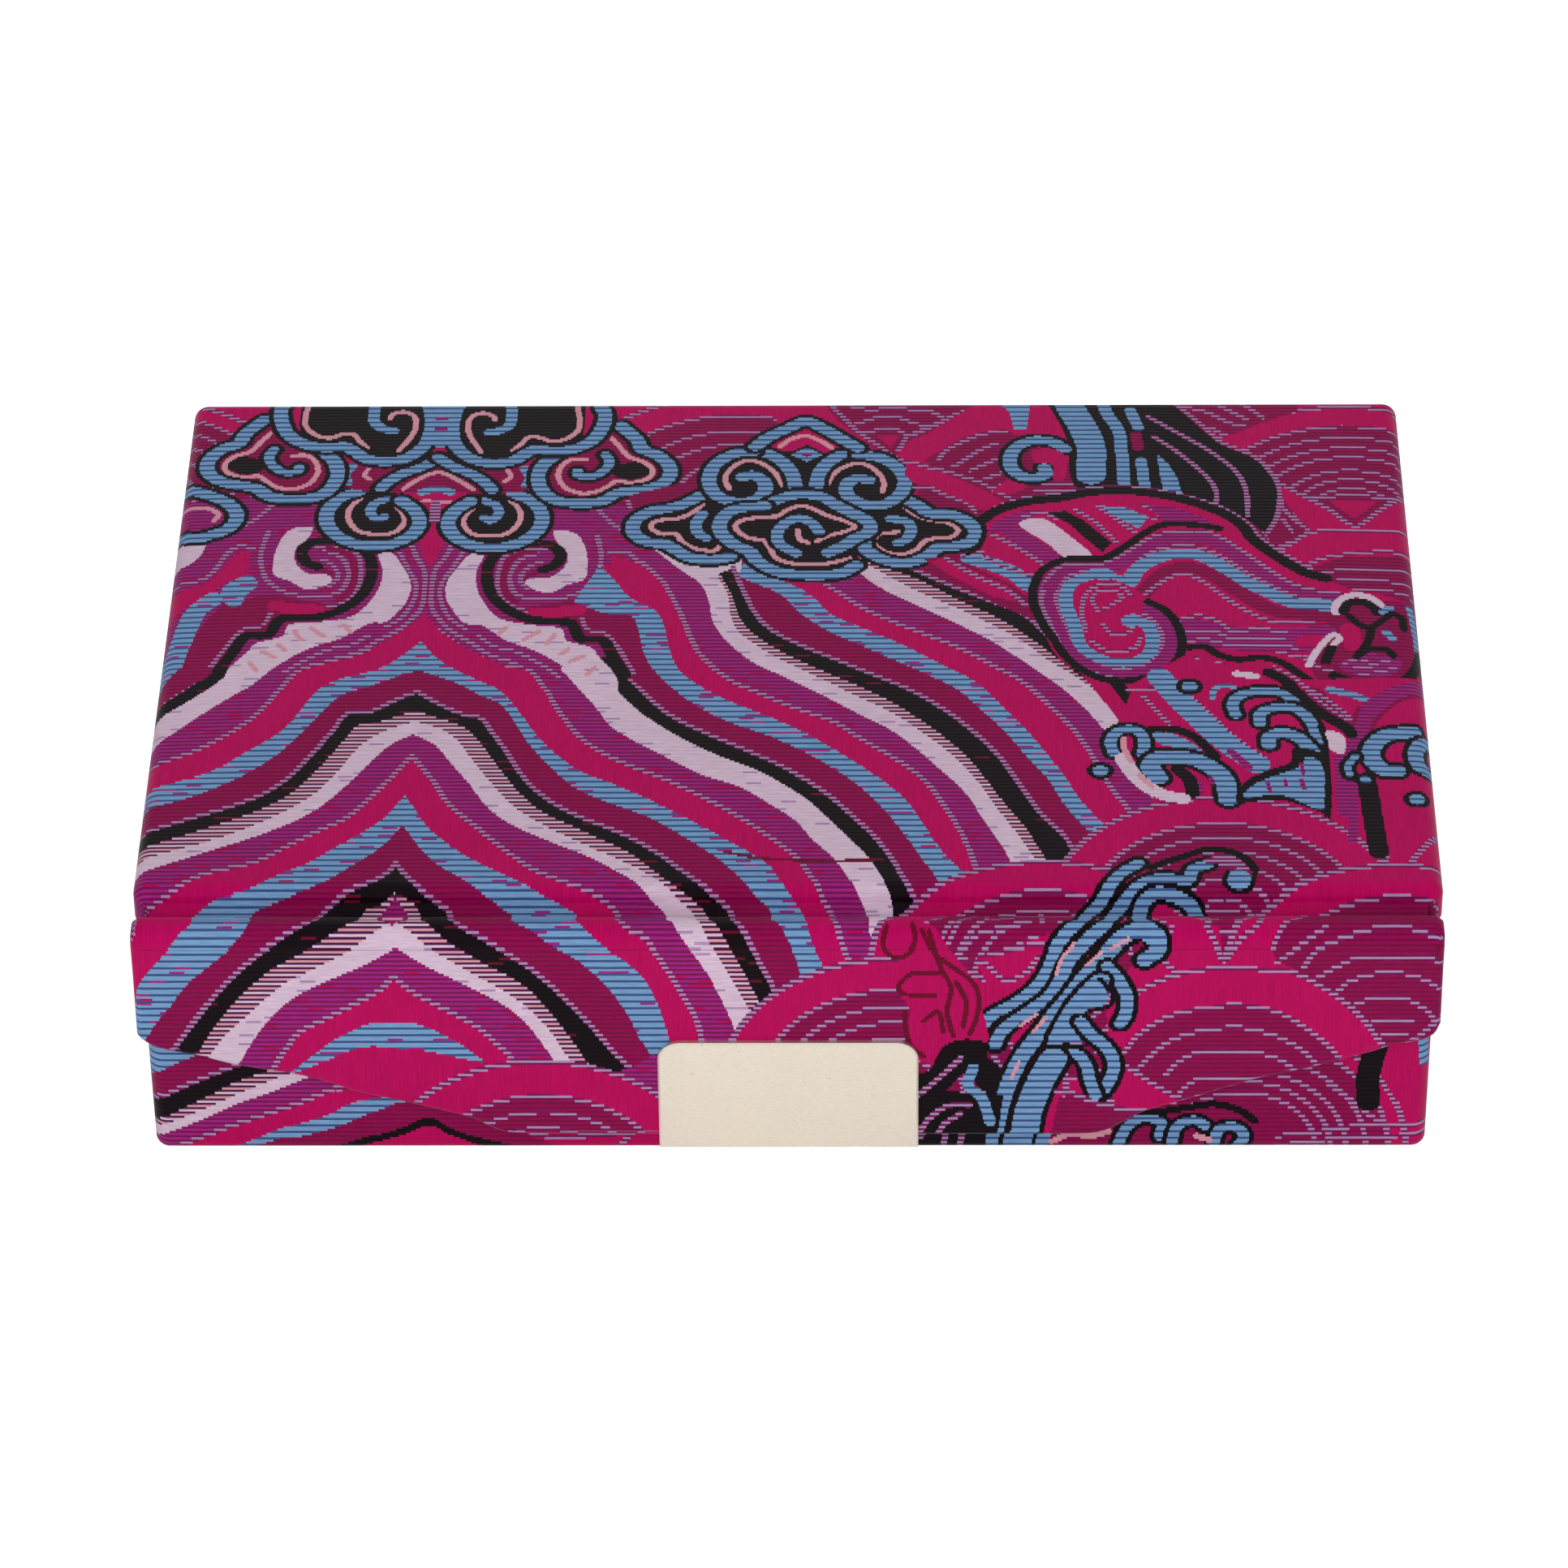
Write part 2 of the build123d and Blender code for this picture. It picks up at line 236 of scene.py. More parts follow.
# widths in millimetres: a ring's line, a thin lavender line, and how much wider the dark edges are
RING_LINE, THIN = 0.42, 0.45
EDGES = {"ribbon": 0.84, "stem": 0.8}
# fish scales: their radius, and the rings inside as shares of it
SCALE_RADIUS = 13.8
RING_SHARES = np.array([0.77, 0.64, 0.5, 0.35, 0.2])
print(len(DYES), "yarns")


# %% [markdown]
# The figure could be painted as an image, but an image blurs close up. Here each stroke is a smooth
# curve through a few points, and is filled or drawn into the cartoon's squares over what is there.
# Flecks of odd yarn come from a seeded draw, so they are the same in each run.

# %% Curves
def points(text):
    """Points written as x,v pairs, as an array."""
    return np.array([[float(c) for c in pair.split(",")] for pair in text.split()])


def flow(control, closed=False, parts=5):
    """A smooth curve through control points: Catmull-Rom, a cubic whose slope at each point is
    half the way from the point before it to the point after."""
    p = np.asarray(control, float)
    if len(p) < 3:
        return p
    ends = (p[-1:], p[:2]) if closed else (2 * p[:1] - p[1:2], 2 * p[-1:] - p[-2:-1])
    q = np.concatenate([ends[0], p, ends[1]])
    a, b, c, d = q[:-3], q[1:-2], q[2:-1], q[3:]
    t = (np.arange(parts) / parts)[None, :, None]
    a, b, c, d = (x[:, None, :] for x in (a, b, c, d))
    run = 0.5 * (2 * b + (c - a) * t + (2 * a - 5 * b + 4 * c - d) * t**2 + (3 * b - a - 3 * c + d) * t**3)
    run = run.reshape(-1, 2)
    return run if closed else np.concatenate([run, p[-1:]])


def mirrored(p, axis=-30.1, lean=0.065):
    """The same points on the other side of an upright axis, lower by a lean for each millimetre."""
    p = np.asarray(p, float)
    out = p.copy()
    out[:, 0] = 2 * axis - p[:, 0]
    out[:, 1] = p[:, 1] + lean * (out[:, 0] - p[:, 0]) / 2
    return out


class Cartoon:
    """The weaver's squared paper: a yarn number for each weft and step, drawn over from back to front."""

    def __init__(self, u0, u1, v0, v1):
        self.u = np.arange(u0, u1, STEP) + STEP / 2
        self.v = np.arange(v0, v1, WEFT) + WEFT / 2
        self.yarn = np.zeros((len(self.v), len(self.u)), np.int8)

    def _window(self, p, margin):
        low, high = p.min(0) - margin, p.max(0) + margin
        i = np.searchsorted(self.u, [low[0], high[0]])
        j = np.searchsorted(self.v, [low[1], high[1]])
        window = np.s_[j[0]:j[1], i[0]:i[1]]
        return window, self.u[None, i[0]:i[1]], self.v[j[0]:j[1], None]

    def area(self, p, yarn):
        """Fill a closed outline: a square is inside where a line from it crosses the outline an odd
        number of times."""
        p = np.asarray(p, float)
        window, u, v = self._window(p, 0.5)
        inside = np.zeros(np.broadcast(u, v).shape, bool)
        for (x1, y1), (x2, y2) in zip(p, np.roll(p, -1, 0)):
            if y1 != y2:
                inside ^= ((y1 > v) != (y2 > v)) & (u < (x2 - x1) * (v - y1) / (y2 - y1) + x1)
        self.yarn[window][inside] = yarn

    def line(self, p, width, yarn):
        """Draw along a curve: a square is on it where its distance to a run is under half the width."""
        p = np.asarray(p, float)
        window, u, v = self._window(p, width)
        near = np.full(np.broadcast(u, v).shape, 1e9)
        for (x1, y1), (x2, y2) in zip(p[:-1], p[1:]):
            dx, dy = x2 - x1, y2 - y1
            t = np.clip(((u - x1) * dx + (v - y1) * dy) / max(dx * dx + dy * dy, 1e-9), 0, 1)
            near = np.minimum(near, (u - x1 - t * dx) ** 2 + (v - y1 - t * dy) ** 2)
        self.yarn[window][near < (width / 2) ** 2] = yarn

    def stripes(self, curves, yarns):
        """Fill the ground between each curve and the next."""
        for a, b, yarn in zip(curves[:-1], curves[1:], yarns):
            self.area(np.concatenate([a, b[::-1]]), yarn)

    def arcs(self, centre, radii, start=0, end=360):
        """Part rings about a centre, from one angle to another in degrees."""
        a = np.radians(np.linspace(start, end, 60))
        for r in radii:
            self.line(centre + r * np.stack([np.cos(a), np.sin(a)], 1), RING_LINE, LAVENDER)

    def scale(self, centre, radius, rings):
        """One fish scale of the wave ground: a crimson rim, then lavender rings on wine."""
        a = np.radians(np.linspace(0, 360, 90, endpoint=False))
        circle = np.stack([np.cos(a), np.sin(a)], 1)
        self.area(centre + (radius + 0.25) * circle, LAVENDER)
        self.area(centre + (radius - 0.25) * circle, CRIMSON)
        self.area(centre + rings[0] * circle, WINE)
        self.arcs(centre, rings)

    def flecks(self, found, other, share, seed, across=12, wefts=2):
        """Turn a share of one yarn's ground into short dashes of another, as floats that show through."""
        rng = np.random.default_rng(seed)
        cells = rng.random((len(self.v) // wefts + 1, len(self.u) // across + 2)) < share
        shift = rng.integers(0, across, len(cells))
        row = np.arange(len(self.v)) // wefts
        column = (np.arange(len(self.u))[None, :] + shift[row][:, None]) // across
        first = (np.arange(len(self.v)) % wefts == 0)[:, None]
        self.yarn[cells[row[:, None], column] & (self.yarn == found) & first] = other

    def finish(self):
        """Turn each ground into its wefts: where a yarn's number of rows after the first has the given
        remainder, the weft is another yarn."""
        row = np.arange(len(self.v))[:, None]
        out = self.yarn.copy()
        for found, every, left, other in (
                (WINE, 2, 1, WINE_LINE), (PURPLE, 2, 1, PURPLE_LINE), (BLUE, 3, 2, BLUE_LINE),
                (TEETH, 4, 1, WHITE), (TEETH, 4, 3, PEACH), (LAVENDER, 2, 1, PURPLE_LINE)):
            out[(self.yarn == found) & (row % every == left)] = other
        self.woven = out

    def at(self, u, v):
        """The woven yarn at points of the cloth, or the edge's where they lie outside the paper."""
        i = np.clip(((u - self.u[0]) / STEP + 0.5).astype(int), 0, len(self.u) - 1)
        j = np.clip(((v - self.v[0]) / WEFT + 0.5).astype(int), 0, len(self.v) - 1)
        return self.woven[j, i]


YARN = dict(crimson=CRIMSON, wine=WINE, purple=PURPLE, lavender=LAVENDER, blue=BLUE, black=BLACK, white=WHITE,
            peach=PEACH, fleck=FLECK)


def rows(text):
    """The rows of a table. A line that starts with a space goes on from the one before it."""
    return text.strip().replace("\n ", " ").splitlines()


def curves(text):
    """Named smooth curves, one to a row."""
    return {name: flow(points(places)) for name, places in (row.split(None, 1) for row in rows(text))}


def sketch(cartoon, text, mirror=False, drop=0.0):
    """Draw rows of strokes. Each has a kind, a yarn, for lines a width, and curves with a | between
    them. A fill is smooth all round, an open one is closed by a straight run, and a cut is straight
    all round. A line is smooth, a run is straight, and a ribbon or a stem is a line with dark edges."""
    for row in rows(text):
        kind, yarn, rest = row.split(None, 2)
        first, _, more = rest.partition(" ")
        width, rest = (0, rest) if "," in first else (float(first), more)
        for curve in rest.split("|"):
            p = points(curve) + [0, drop]
            for q in (p, mirrored(p)) if mirror else (p,):
                shape = q if kind in ("cut", "run") else flow(q, closed=kind == "fill")
                if kind in ("cut", "fill", "open"):
                    cartoon.area(shape, YARN[yarn])
                else:
                    if kind in EDGES:
                        cartoon.line(shape, width + EDGES[kind], BLACK)
                    cartoon.line(shape, width, YARN[yarn])


def scales(cartoon, left, right, top, bottom):
    """A whole ground of fish scales, row by row, each row half a scale along from the last."""
    r = SCALE_RADIUS
    for row, v in enumerate(np.arange(top, bottom + r, r * 0.75)):
        for u in np.arange(left - r, right + 2 * r, 2 * r) + (row % 2) * r:
            cartoon.scale((u, v + r), r, r * RING_SHARES)


def tell(title, cartoon):
    """Print how many square centimetres of the cartoon each yarn has so far."""
    square = STEP * WEFT / 100
    print(title, {name: round(square * int((cartoon.yarn == code).sum()), 1) for name, code in YARN.items()})


print("a curve through 3 points has", len(flow(points("0,0 1,1 2,0"))), "points")

# %% [markdown]
# The figure on the lid runs over the front fold and down the flap, so one cartoon serves all of
# it. Its x is the place across the box and its v the way along the cloth from the back edge.
# The standing water comes first: bands that fall from left and right of a crest, each made of
# black, white, purple, crimson and blue.

# %% Cartoon of the lid and flap: standing water
lid_cartoon = Cartoon(-64, 64, -30, 99)
scales(lid_cartoon, -64, 64, -30, 99)

# curves to the right of the crest, each from upper left to lower right
# black0_up and black0_low widen where they cross the fold's groove, v 67 to 71.5: that wider black is partly the
# weave's black band and partly painted shade of the groove
right_of = curves("""
black2_up 9,24 13,27 16,29 19,31 20.7,33.5 23,36.5 25.5,40 28,43.5 29.3,46 32,51
black2_low 7.5,24.2 10.5,26 14,29 17,31.3 20,34.5 22.3,37.5 24.7,40.5 27.2,44 28.5,46.7 31,51.5
white2_up 5.5,23.2 10,27.3 13,29.5 16,31.8 18.8,34.3 21,37 23,39 25,41.5 26.5,44.5 29.5,50
white2_low 4.5,23.8 7.5,27.3 10,29.3 13.5,32 16.5,34.5 19,37.2 21.5,40 23.5,42.8 25,45.5 27.5,50.5 29,55
lav2 1,24.5 5.5,29.5 8,31.5 11,33.5 14,35.5 16.5,37.7 19,40 21,43 22.8,46 24.3,49.5 25.5,53 27,56.3 28.5,60
blue2_up -4,23.5 -1.5,25.5 1.5,28 3.3,30.8 6,32.7 9,34.8 12,37.3 15,39.8 17,42.8 19,46 20.7,49.3 22,52 23.3,55.2 25,58
 27,61
blue2_low -4.5,25.5 -1,28 .8,30.7 3,33 6,35.2 8.5,37 11,38.8 13.5,40.8 15.3,43.3 17.3,46.3 19,49.5 20.7,52.5 22,55.8
 23.7,58.8 25.5,61.5
black1_up -5,24.5 -4,28 -3,31 -1.5,33.3 .8,35.2 3.5,37 6.5,39 9.5,41 12,43.3 14.3,46 16.5,49.3 18.2,53 20,57 21.8,59.8
 23,63
black1_low -6,25 -5,28 -4.3,31 -3,33.5 -.5,36 2.5,38.3 5,40 8,42.3 10.5,44.8 12.8,47.5 14.8,50.5 16.7,54.5 18.8,58.5
 20,61.5 21,64
white1_up -6.2,25.5 -5.3,28 -5,31 -4.2,33.3 -2,35.8 0,37.5 3,39.8 5.5,41.8 8,43.7 10.5,46.2 12.8,49 14.7,52 16.3,55.5
 18,59 19.8,63
white1_low -12,21 -9.5,24.3 -7.6,26.5 -6.8,29 -6.5,31.5 -5.5,34 -3.3,37 -.5,39.2 2.5,41.5 5.5,44 8,46 10,48.3
 12.3,51.5 14,54 15.3,57 17,61 18,64
lav1 -12.5,23.5 -10.8,26 -10,28 -9,31 -8.2,34 -7.2,36.5 -5,39.5 -2.5,41.3 .5,43.3 3.5,45 6,47.5 8.5,49.8 10.8,52.5
 12.5,56 14,60 15,64
blue1_up -16,24 -14.7,26 -13.3,28.5 -11.2,30.2 -10.4,32.5 -10,35 -9.2,38 -7.5,40.2 -5,42.3 -2,44.2 1,46.3 4,49
 6.5,51.5 9,54.5 10.5,57.5 12,61 14.5,65
blue1_low -18,29 -15.5,30.5 -13.2,31 -12.5,33 -12,36 -11,38.5 -9.3,41 -7,43.5 -4.5,45.3 -1.5,47 1.5,49.2 4,51.5
 6.3,54.2 8.3,57.5 10,61 12.2,65.7
black0_up -25,28 -23.8,29.5 -22.5,30.7 -18.8,31 -17.8,32.5 -17.2,33.8 -15,34.2 -14.6,36 -13.5,38.7 -12,41.2 -10.8,43
 -9,45 -6,47.2 -3,49.2 -.5,51 1.5,52.8 3.5,55 5.3,57.5 7,60 8.2,62.5 9.1,64.7 9.9,66.5 11,68 11.2,71.5
black0_low -24.8,30.5 -23,31.8 -21.7,32.5 -19.3,32.6 -18.3,34 -17.5,35.2 -16,35.8 -15.5,38 -14.3,40.5 -12.7,43 -11,45
 -8.5,47.3 -5.5,49.5 -2.5,51.3 -.5,53 1.5,55 3.3,57.5 5,60 6.3,62 7.4,64.5 8.2,66.7 8.3,68.5 8.4,71.5
white0_low -25.3,32.3 -23.5,34.5 -21.5,35.3 -20,36.7 -18.5,38.5 -17,41 -15.8,43 -14.5,45.5 -12.5,47.5 -10,49.5 -7,51.8
 -4,53.3 -1.5,55.5 .5,57.5 2,60 3.5,62 5,65 6.1,67.5 6.4,70 6.4,72 7,74.2
lav0 -29.5,31 -28.5,33 -26.5,35.3 -24,37.5 -21.5,38 -20,40.5 -18.5,44 -17,46.8 -15,49 -12.5,50.8 -10,52.3 -7,54.5
 -4,57 -2,59 .5,61.8 1.7,64 2.8,66.5 3.6,68.5 3.6,70.5 4,72 4.7,74.5 5.5,76
blue3_up -30.3,34.3 -29,36.5 -27.5,38 -25.5,39.5 -23.5,41 -22,43.5 -20.5,46.5 -18.5,49.5 -16.5,51.5 -14,53 -11,55
 -8,57.3 -5,59.8 -3,61.5 -1.5,63 -.5,65 .7,67 1.3,68.2 1.4,70.5 1.8,72.5 2.4,74.3 3.1,76.2
blue3_low -30.3,38.2 -27,40 -25.5,41.3 -23.5,42.7 -22.2,45 -21,47.8 -19,51 -17,53.5 -14.5,55.2 -11,57.2 -8,59.8
 -5.7,62 -4,64.2 -2.5,66.3 -1.3,67.7 -1.2,70.5 -.3,72 .5,74 1,76 1.5,78
black3_up -30.3,41.2 -28.5,42.8 -26.5,44.2 -25,44.7 -24,46.5 -22.5,49.5 -21,52.7 -19,55.3 -16.5,57.3 -14,58.8 -12,60.2
 -10,62 -8,64.2 -6,66.2 -4.5,67.8 -4.2,69.5 -4.1,71 -3,73 -2,75.5 -1.2,77.5 -.8,79.2
black3_low -30.3,43.5 -29,44.2 -27,45.2 -26,46 -24.7,48 -23.2,51 -21.5,54 -19.5,56.5 -17,58.3 -15,59.7 -12.5,61.5
 -11,63.2 -9,65.3 -7.3,66.7 -6.3,68 -6.1,70 -5.8,71 -4.7,73 -3.7,75.3 -2.7,77.7 -2,79.7
white3_up -30.3,44.9 -28.2,45.9 -26.8,47.3 -25.2,50.3 -23.5,53.3 -21.5,56.2 -19,58.4 -16.8,60 -15.5,60.9 -12.8,62.7
 -10.3,64.7 -8.6,66.5 -7.3,68 -7.1,70 -6.7,71.5 -5.8,73.5 -4.7,76 -3.6,78.5 -2.6,80.7 -2.2,82.5
white3_low -30.3,46.6 -28.5,48 -27,50.5 -25.5,53 -24,55.8 -22,58 -19,60 -16,61.8 -14,63.3 -12,65 -10.5,66.8 -9.5,68
 -9.4,70 -8.7,71.8 -7.5,73.8 -6.3,76 -5.3,78.5 -4.5,80.8 -3.9,83
lav3 -30.3,49.3 -29.3,51 -28.2,53 -27,55.5 -25,58 -22,61.5 -20,63.5 -17.5,65 -15.5,65.9 -14,67 -13.2,68.3 -13.2,70.5
 -12.5,71.8 -11,72.7 -10,74.5 -9,76.5 -8,78.8 -7.2,80.8 -6.8,83
blue4_up -30.6,54.3 -29.3,57 -28.5,58.5 -27,60.3 -25,62.2 -23.5,63.3 -21.5,64.7 -19.5,66 -17.5,67.2 -16.5,68.2
 -16.4,71 -15,72.7 -13.6,74 -12.3,75.2 -11,77 -10,80 -9.2,83.5
blue4_low -30.6,58 -29,61 -27.5,63 -26,64.3 -24,66 -22.2,67.5 -21.5,68.3 -21.4,71 -20,72 -18.5,73.2 -16.5,74.6
 -14.8,76.5 -13.5,78.5 -12.5,80.5 -11.8,82.5 -10.8,84.5
black4_up -30.9,62.9 -30.3,64 -29,65.7 -27.5,67 -26.5,68 -26.2,70.5 -25.5,71.8 -23.5,73 -21.5,74.5 -19.5,76.3
 -17.5,78.8 -15.5,81.6 -13.8,84.3 -12.6,85.9
black4_low -30.9,66 -30,66.4 -28.9,67.5 -28.7,69 -28.4,70.8 -27,72.5 -25,74 -23,75.5 -21.5,76.5 -20,78 -18.5,80.3
 -17,83 -16,85 -15,86.4
white4_up -30.6,71.2 -29.7,71.9 -28,73.4 -26,75 -24,76.5 -22,78 -20.5,79.5 -19,81.5 -18,83.5 -16.7,86 -15.4,87.8
white4_low -30.5,73.4 -28.5,75.1 -26.5,76.4 -24.5,77.7 -22.5,79.1 -21,80.6 -19.8,82.5 -18.7,84.7 -17.8,87 -17,90
lav4 -30.9,76.3 -29.3,78 -27.5,79.3 -26,80.3 -24.5,81.5 -23.2,83 -22,84.5 -21,86.5 -20,88.5 -19,91
lens_up -30.5,81 -29.5,81.1 -28,81.8 -26,83.2 -24.2,84.9
lens_low -30.5,83.8 -28.5,84 -26.5,84.6 -24.2,85.2
""")
# the same to the left, each from the crest outwards
left_of = curves("""
black0_up -36.2,28 -37.5,29.6 -40,30.3 -42.2,30.1 -43,31.5 -43.3,32.6 -44.9,32.6 -45.4,33.5 -45.8,35 -47,37.5 -49,40
 -51.5,42.5 -56,46
black0_low -36.5,30.7 -38,31.5 -41.8,32 -42.2,33.5 -43,34.3 -44.5,34.3 -45,36 -46,38.5 -48,41 -51.5,44.3 -56,48
white0_low -34.5,32.3 -36,33.5 -39,35 -41,36.5 -43,38.5 -44.8,40.8 -47,43 -51.5,47.8 -56,51
lav0 -31,31 -33.5,34 -35,35.7 -37.5,36.8 -40,38 -41.5,40.5 -43,43.5 -45,46 -48,48.5 -51.5,50.3 -56,52
blue3_up -30.3,34.3 -32,36.5 -34,38.2 -36.5,39.2 -38.2,40.5 -39.5,43 -41,46 -43.5,48.5 -46.5,51.2 -51.3,53.3 -56,55
blue3_low -30.3,38.2 -32,39 -34.3,40.3 -36.5,41.5 -37.8,43.5 -39.5,46.5 -41.5,49.5 -44.5,52.3 -48,54.5 -51.3,55.8
 -56,58
black3_up -30.3,41.2 -32,42.3 -34,43.8 -35.8,44 -37,46.5 -38.5,49.5 -40.5,52.8 -43,55 -47,57 -51.3,59 -56,61
black3_low -30.3,43.5 -33.3,45 -34.8,45.3 -36,47.5 -37.5,50.5 -39.5,53.7 -42,56 -46,58.2 -51.3,60.8 -56,63
white3_up -30.3,44.9 -32.5,46 -34.5,48 -36,51 -38,54.3 -41,57 -45,59.5 -51.3,62.3 -56,64.5
white3_low -30.3,46.6 -32,47.8 -33.5,50 -35.5,53.3 -38,56.5 -41.5,59 -46,61.3 -50,63.3 -56,66.5
lav3 -30.3,49.3 -31.5,51.5 -33,54 -35,57 -37,58.5 -39.5,60.5 -42,62.5 -46,64 -48.5,66 -50.5,67.7 -51.2,70 -51.5,73
 -56,76
blue4_up -30.6,54.3 -32,57 -33.5,58.7 -36,61 -38,62.8 -40,64 -42,65.5 -45,66.6 -46.5,68.2 -46.5,71.2 -47.5,72.5
 -49,74.5 -50.5,76.5 -51.2,78.5 -52,83
blue4_low -30.6,58 -31.6,59.9 -32.8,61.5 -34.5,63.2 -36.5,65 -38.5,66 -41,67.2 -42,68 -42,71.3 -43.5,73.5 -45.5,75.5
 -47,77 -48.5,79.3 -50,81.5 -51.5,84.5
black4_up -30.9,62.9 -31.3,63.8 -32.5,65 -34.5,66 -35.8,67.2 -36.6,68.3 -36.7,70 -37.4,71.4 -39,72.5 -41,74 -43,76
 -45,78.5 -47,81.5 -49.5,85.5
black4_low -30.9,66 -32,67 -33.3,67.7 -33.5,70.5 -34.2,71.4 -36,72.7 -38,74 -40,75.3 -42,77.2 -43.5,79 -45.5,82
 -47.3,85.5
white4_up -30.6,71.2 -31.8,71.9 -34,73.6 -36.5,75.2 -39,76.7 -41,78.6 -43,80.8 -44.7,82.8 -46.6,86
white4_low -30.5,73.4 -33,75.1 -35,76.2 -37,77.3 -39,78.7 -40.5,80.3 -42,82.5 -43.8,86
lav4 -30.9,76.3 -32,77.7 -34,79.1 -36.5,80.7 -38.5,82 -39.5,83.5 -40.5,85.2 -41.8,88
lens_up -30.5,81 -33,81.2 -34.5,82 -36,83 -37.5,84.4 -39.4,86.2
lens_low -30.5,83.8 -33,83.5 -35,84.1 -36.5,85 -39.4,86.4
""")
BAND = [BLACK, TEETH, WHITE, PURPLE, CRIMSON, BLUE, WINE]
water = {name: np.concatenate([left_of[name][::-1], right_of[name]]) for name in left_of}
c = lid_cartoon
c.area(np.concatenate([left_of["black0_up"][::-1], points("-31,20"), right_of["black0_up"],
                       points("9,80 -3,99 -58,99")]), PURPLE)
c.stripes([right_of["blue1_low"], right_of["black0_up"]], [WINE])
c.stripes([*water.values(), points("-56,97 -10,97")],
          [BLACK, WHITE, PURPLE, CRIMSON, BLUE, WINE, *BAND, BLACK, PURPLE, WHITE, PURPLE, CRIMSON, BLUE, CRIMSON])
for name, rise in (("lav0", 0), ("lav3", 0), ("lav4", 0), ("black4_up", 0.2), ("black3_up", 0.2), ("black0_up", 0.2)):
    c.line(water[name] - [0, rise], THIN, LAVENDER)
# the teeth that the white bands turn towards the black ones
c.stripes([water["black4_low"], water["white4_up"]], [TEETH])
sketch(c, """
cut purple -31.9,68 -32,70.5 -30.8,71.6 -29.6,70.5 -29.7,68 -30.8,66.3
cut peach -31.6,69.6 -31.6,70.3 -30,70.3 -30,69.6
""")
tell("water", c)

# %% [markdown]
# Above the crest stands a cloud whose right half is its left half turned over, so it is drawn
# once and mirrored. A second cloud stands at the middle of the back edge, and a third figure,
# rock and foam, fills the right. Ribbons are drawn from the back of the figure to its front.

# %% Cartoon of the lid and flap: the left cloud and the scroll heads
# the ground: rows of scales behind the clouds, then purple where the water starts
sketch(c, """
cut crimson -64,-30 16,-30 16,4 12,22 8,25 -4,23 -11,20 -17,25 -46,20 -64,22
""")
c.scale((-56.5, 14), 14.5, [12.6, 10.9, 9.2, 7.6, 6])
c.scale((-5, 13.5), 14.5, [11.4, 9, 7, 4.6])
sketch(c, """
cut crimson -3,-30 3,-1 4,3.3 6,6 9,10 16,16 12,22 -3,14 -1.5,3
""")
c.arcs((-14, 24), (9.5, 8, 6.3), start=215, end=330)
sketch(c, """
cut purple -64,16 -46,14 -38,12 -30,17 -22,13 -13,16 -8,20 -9.3,24 -10,30 -14,36 -20,38.5 -26,36 -30.2,31 -34,35
 -41,36.5 -45,37.5 -47,37.6 -49,40 -51.5,42.5 -56,46 -64,52
cut wine -46.7,37.7 -49,40 -51.5,42.5 -56,46 -64,52 -64,44 -56,40.5 -51.5,38 -50.2,36.5 -48,36
run blue 1.8 -50.3,35 -51,37.5 -52.5,40 -64,47
""")
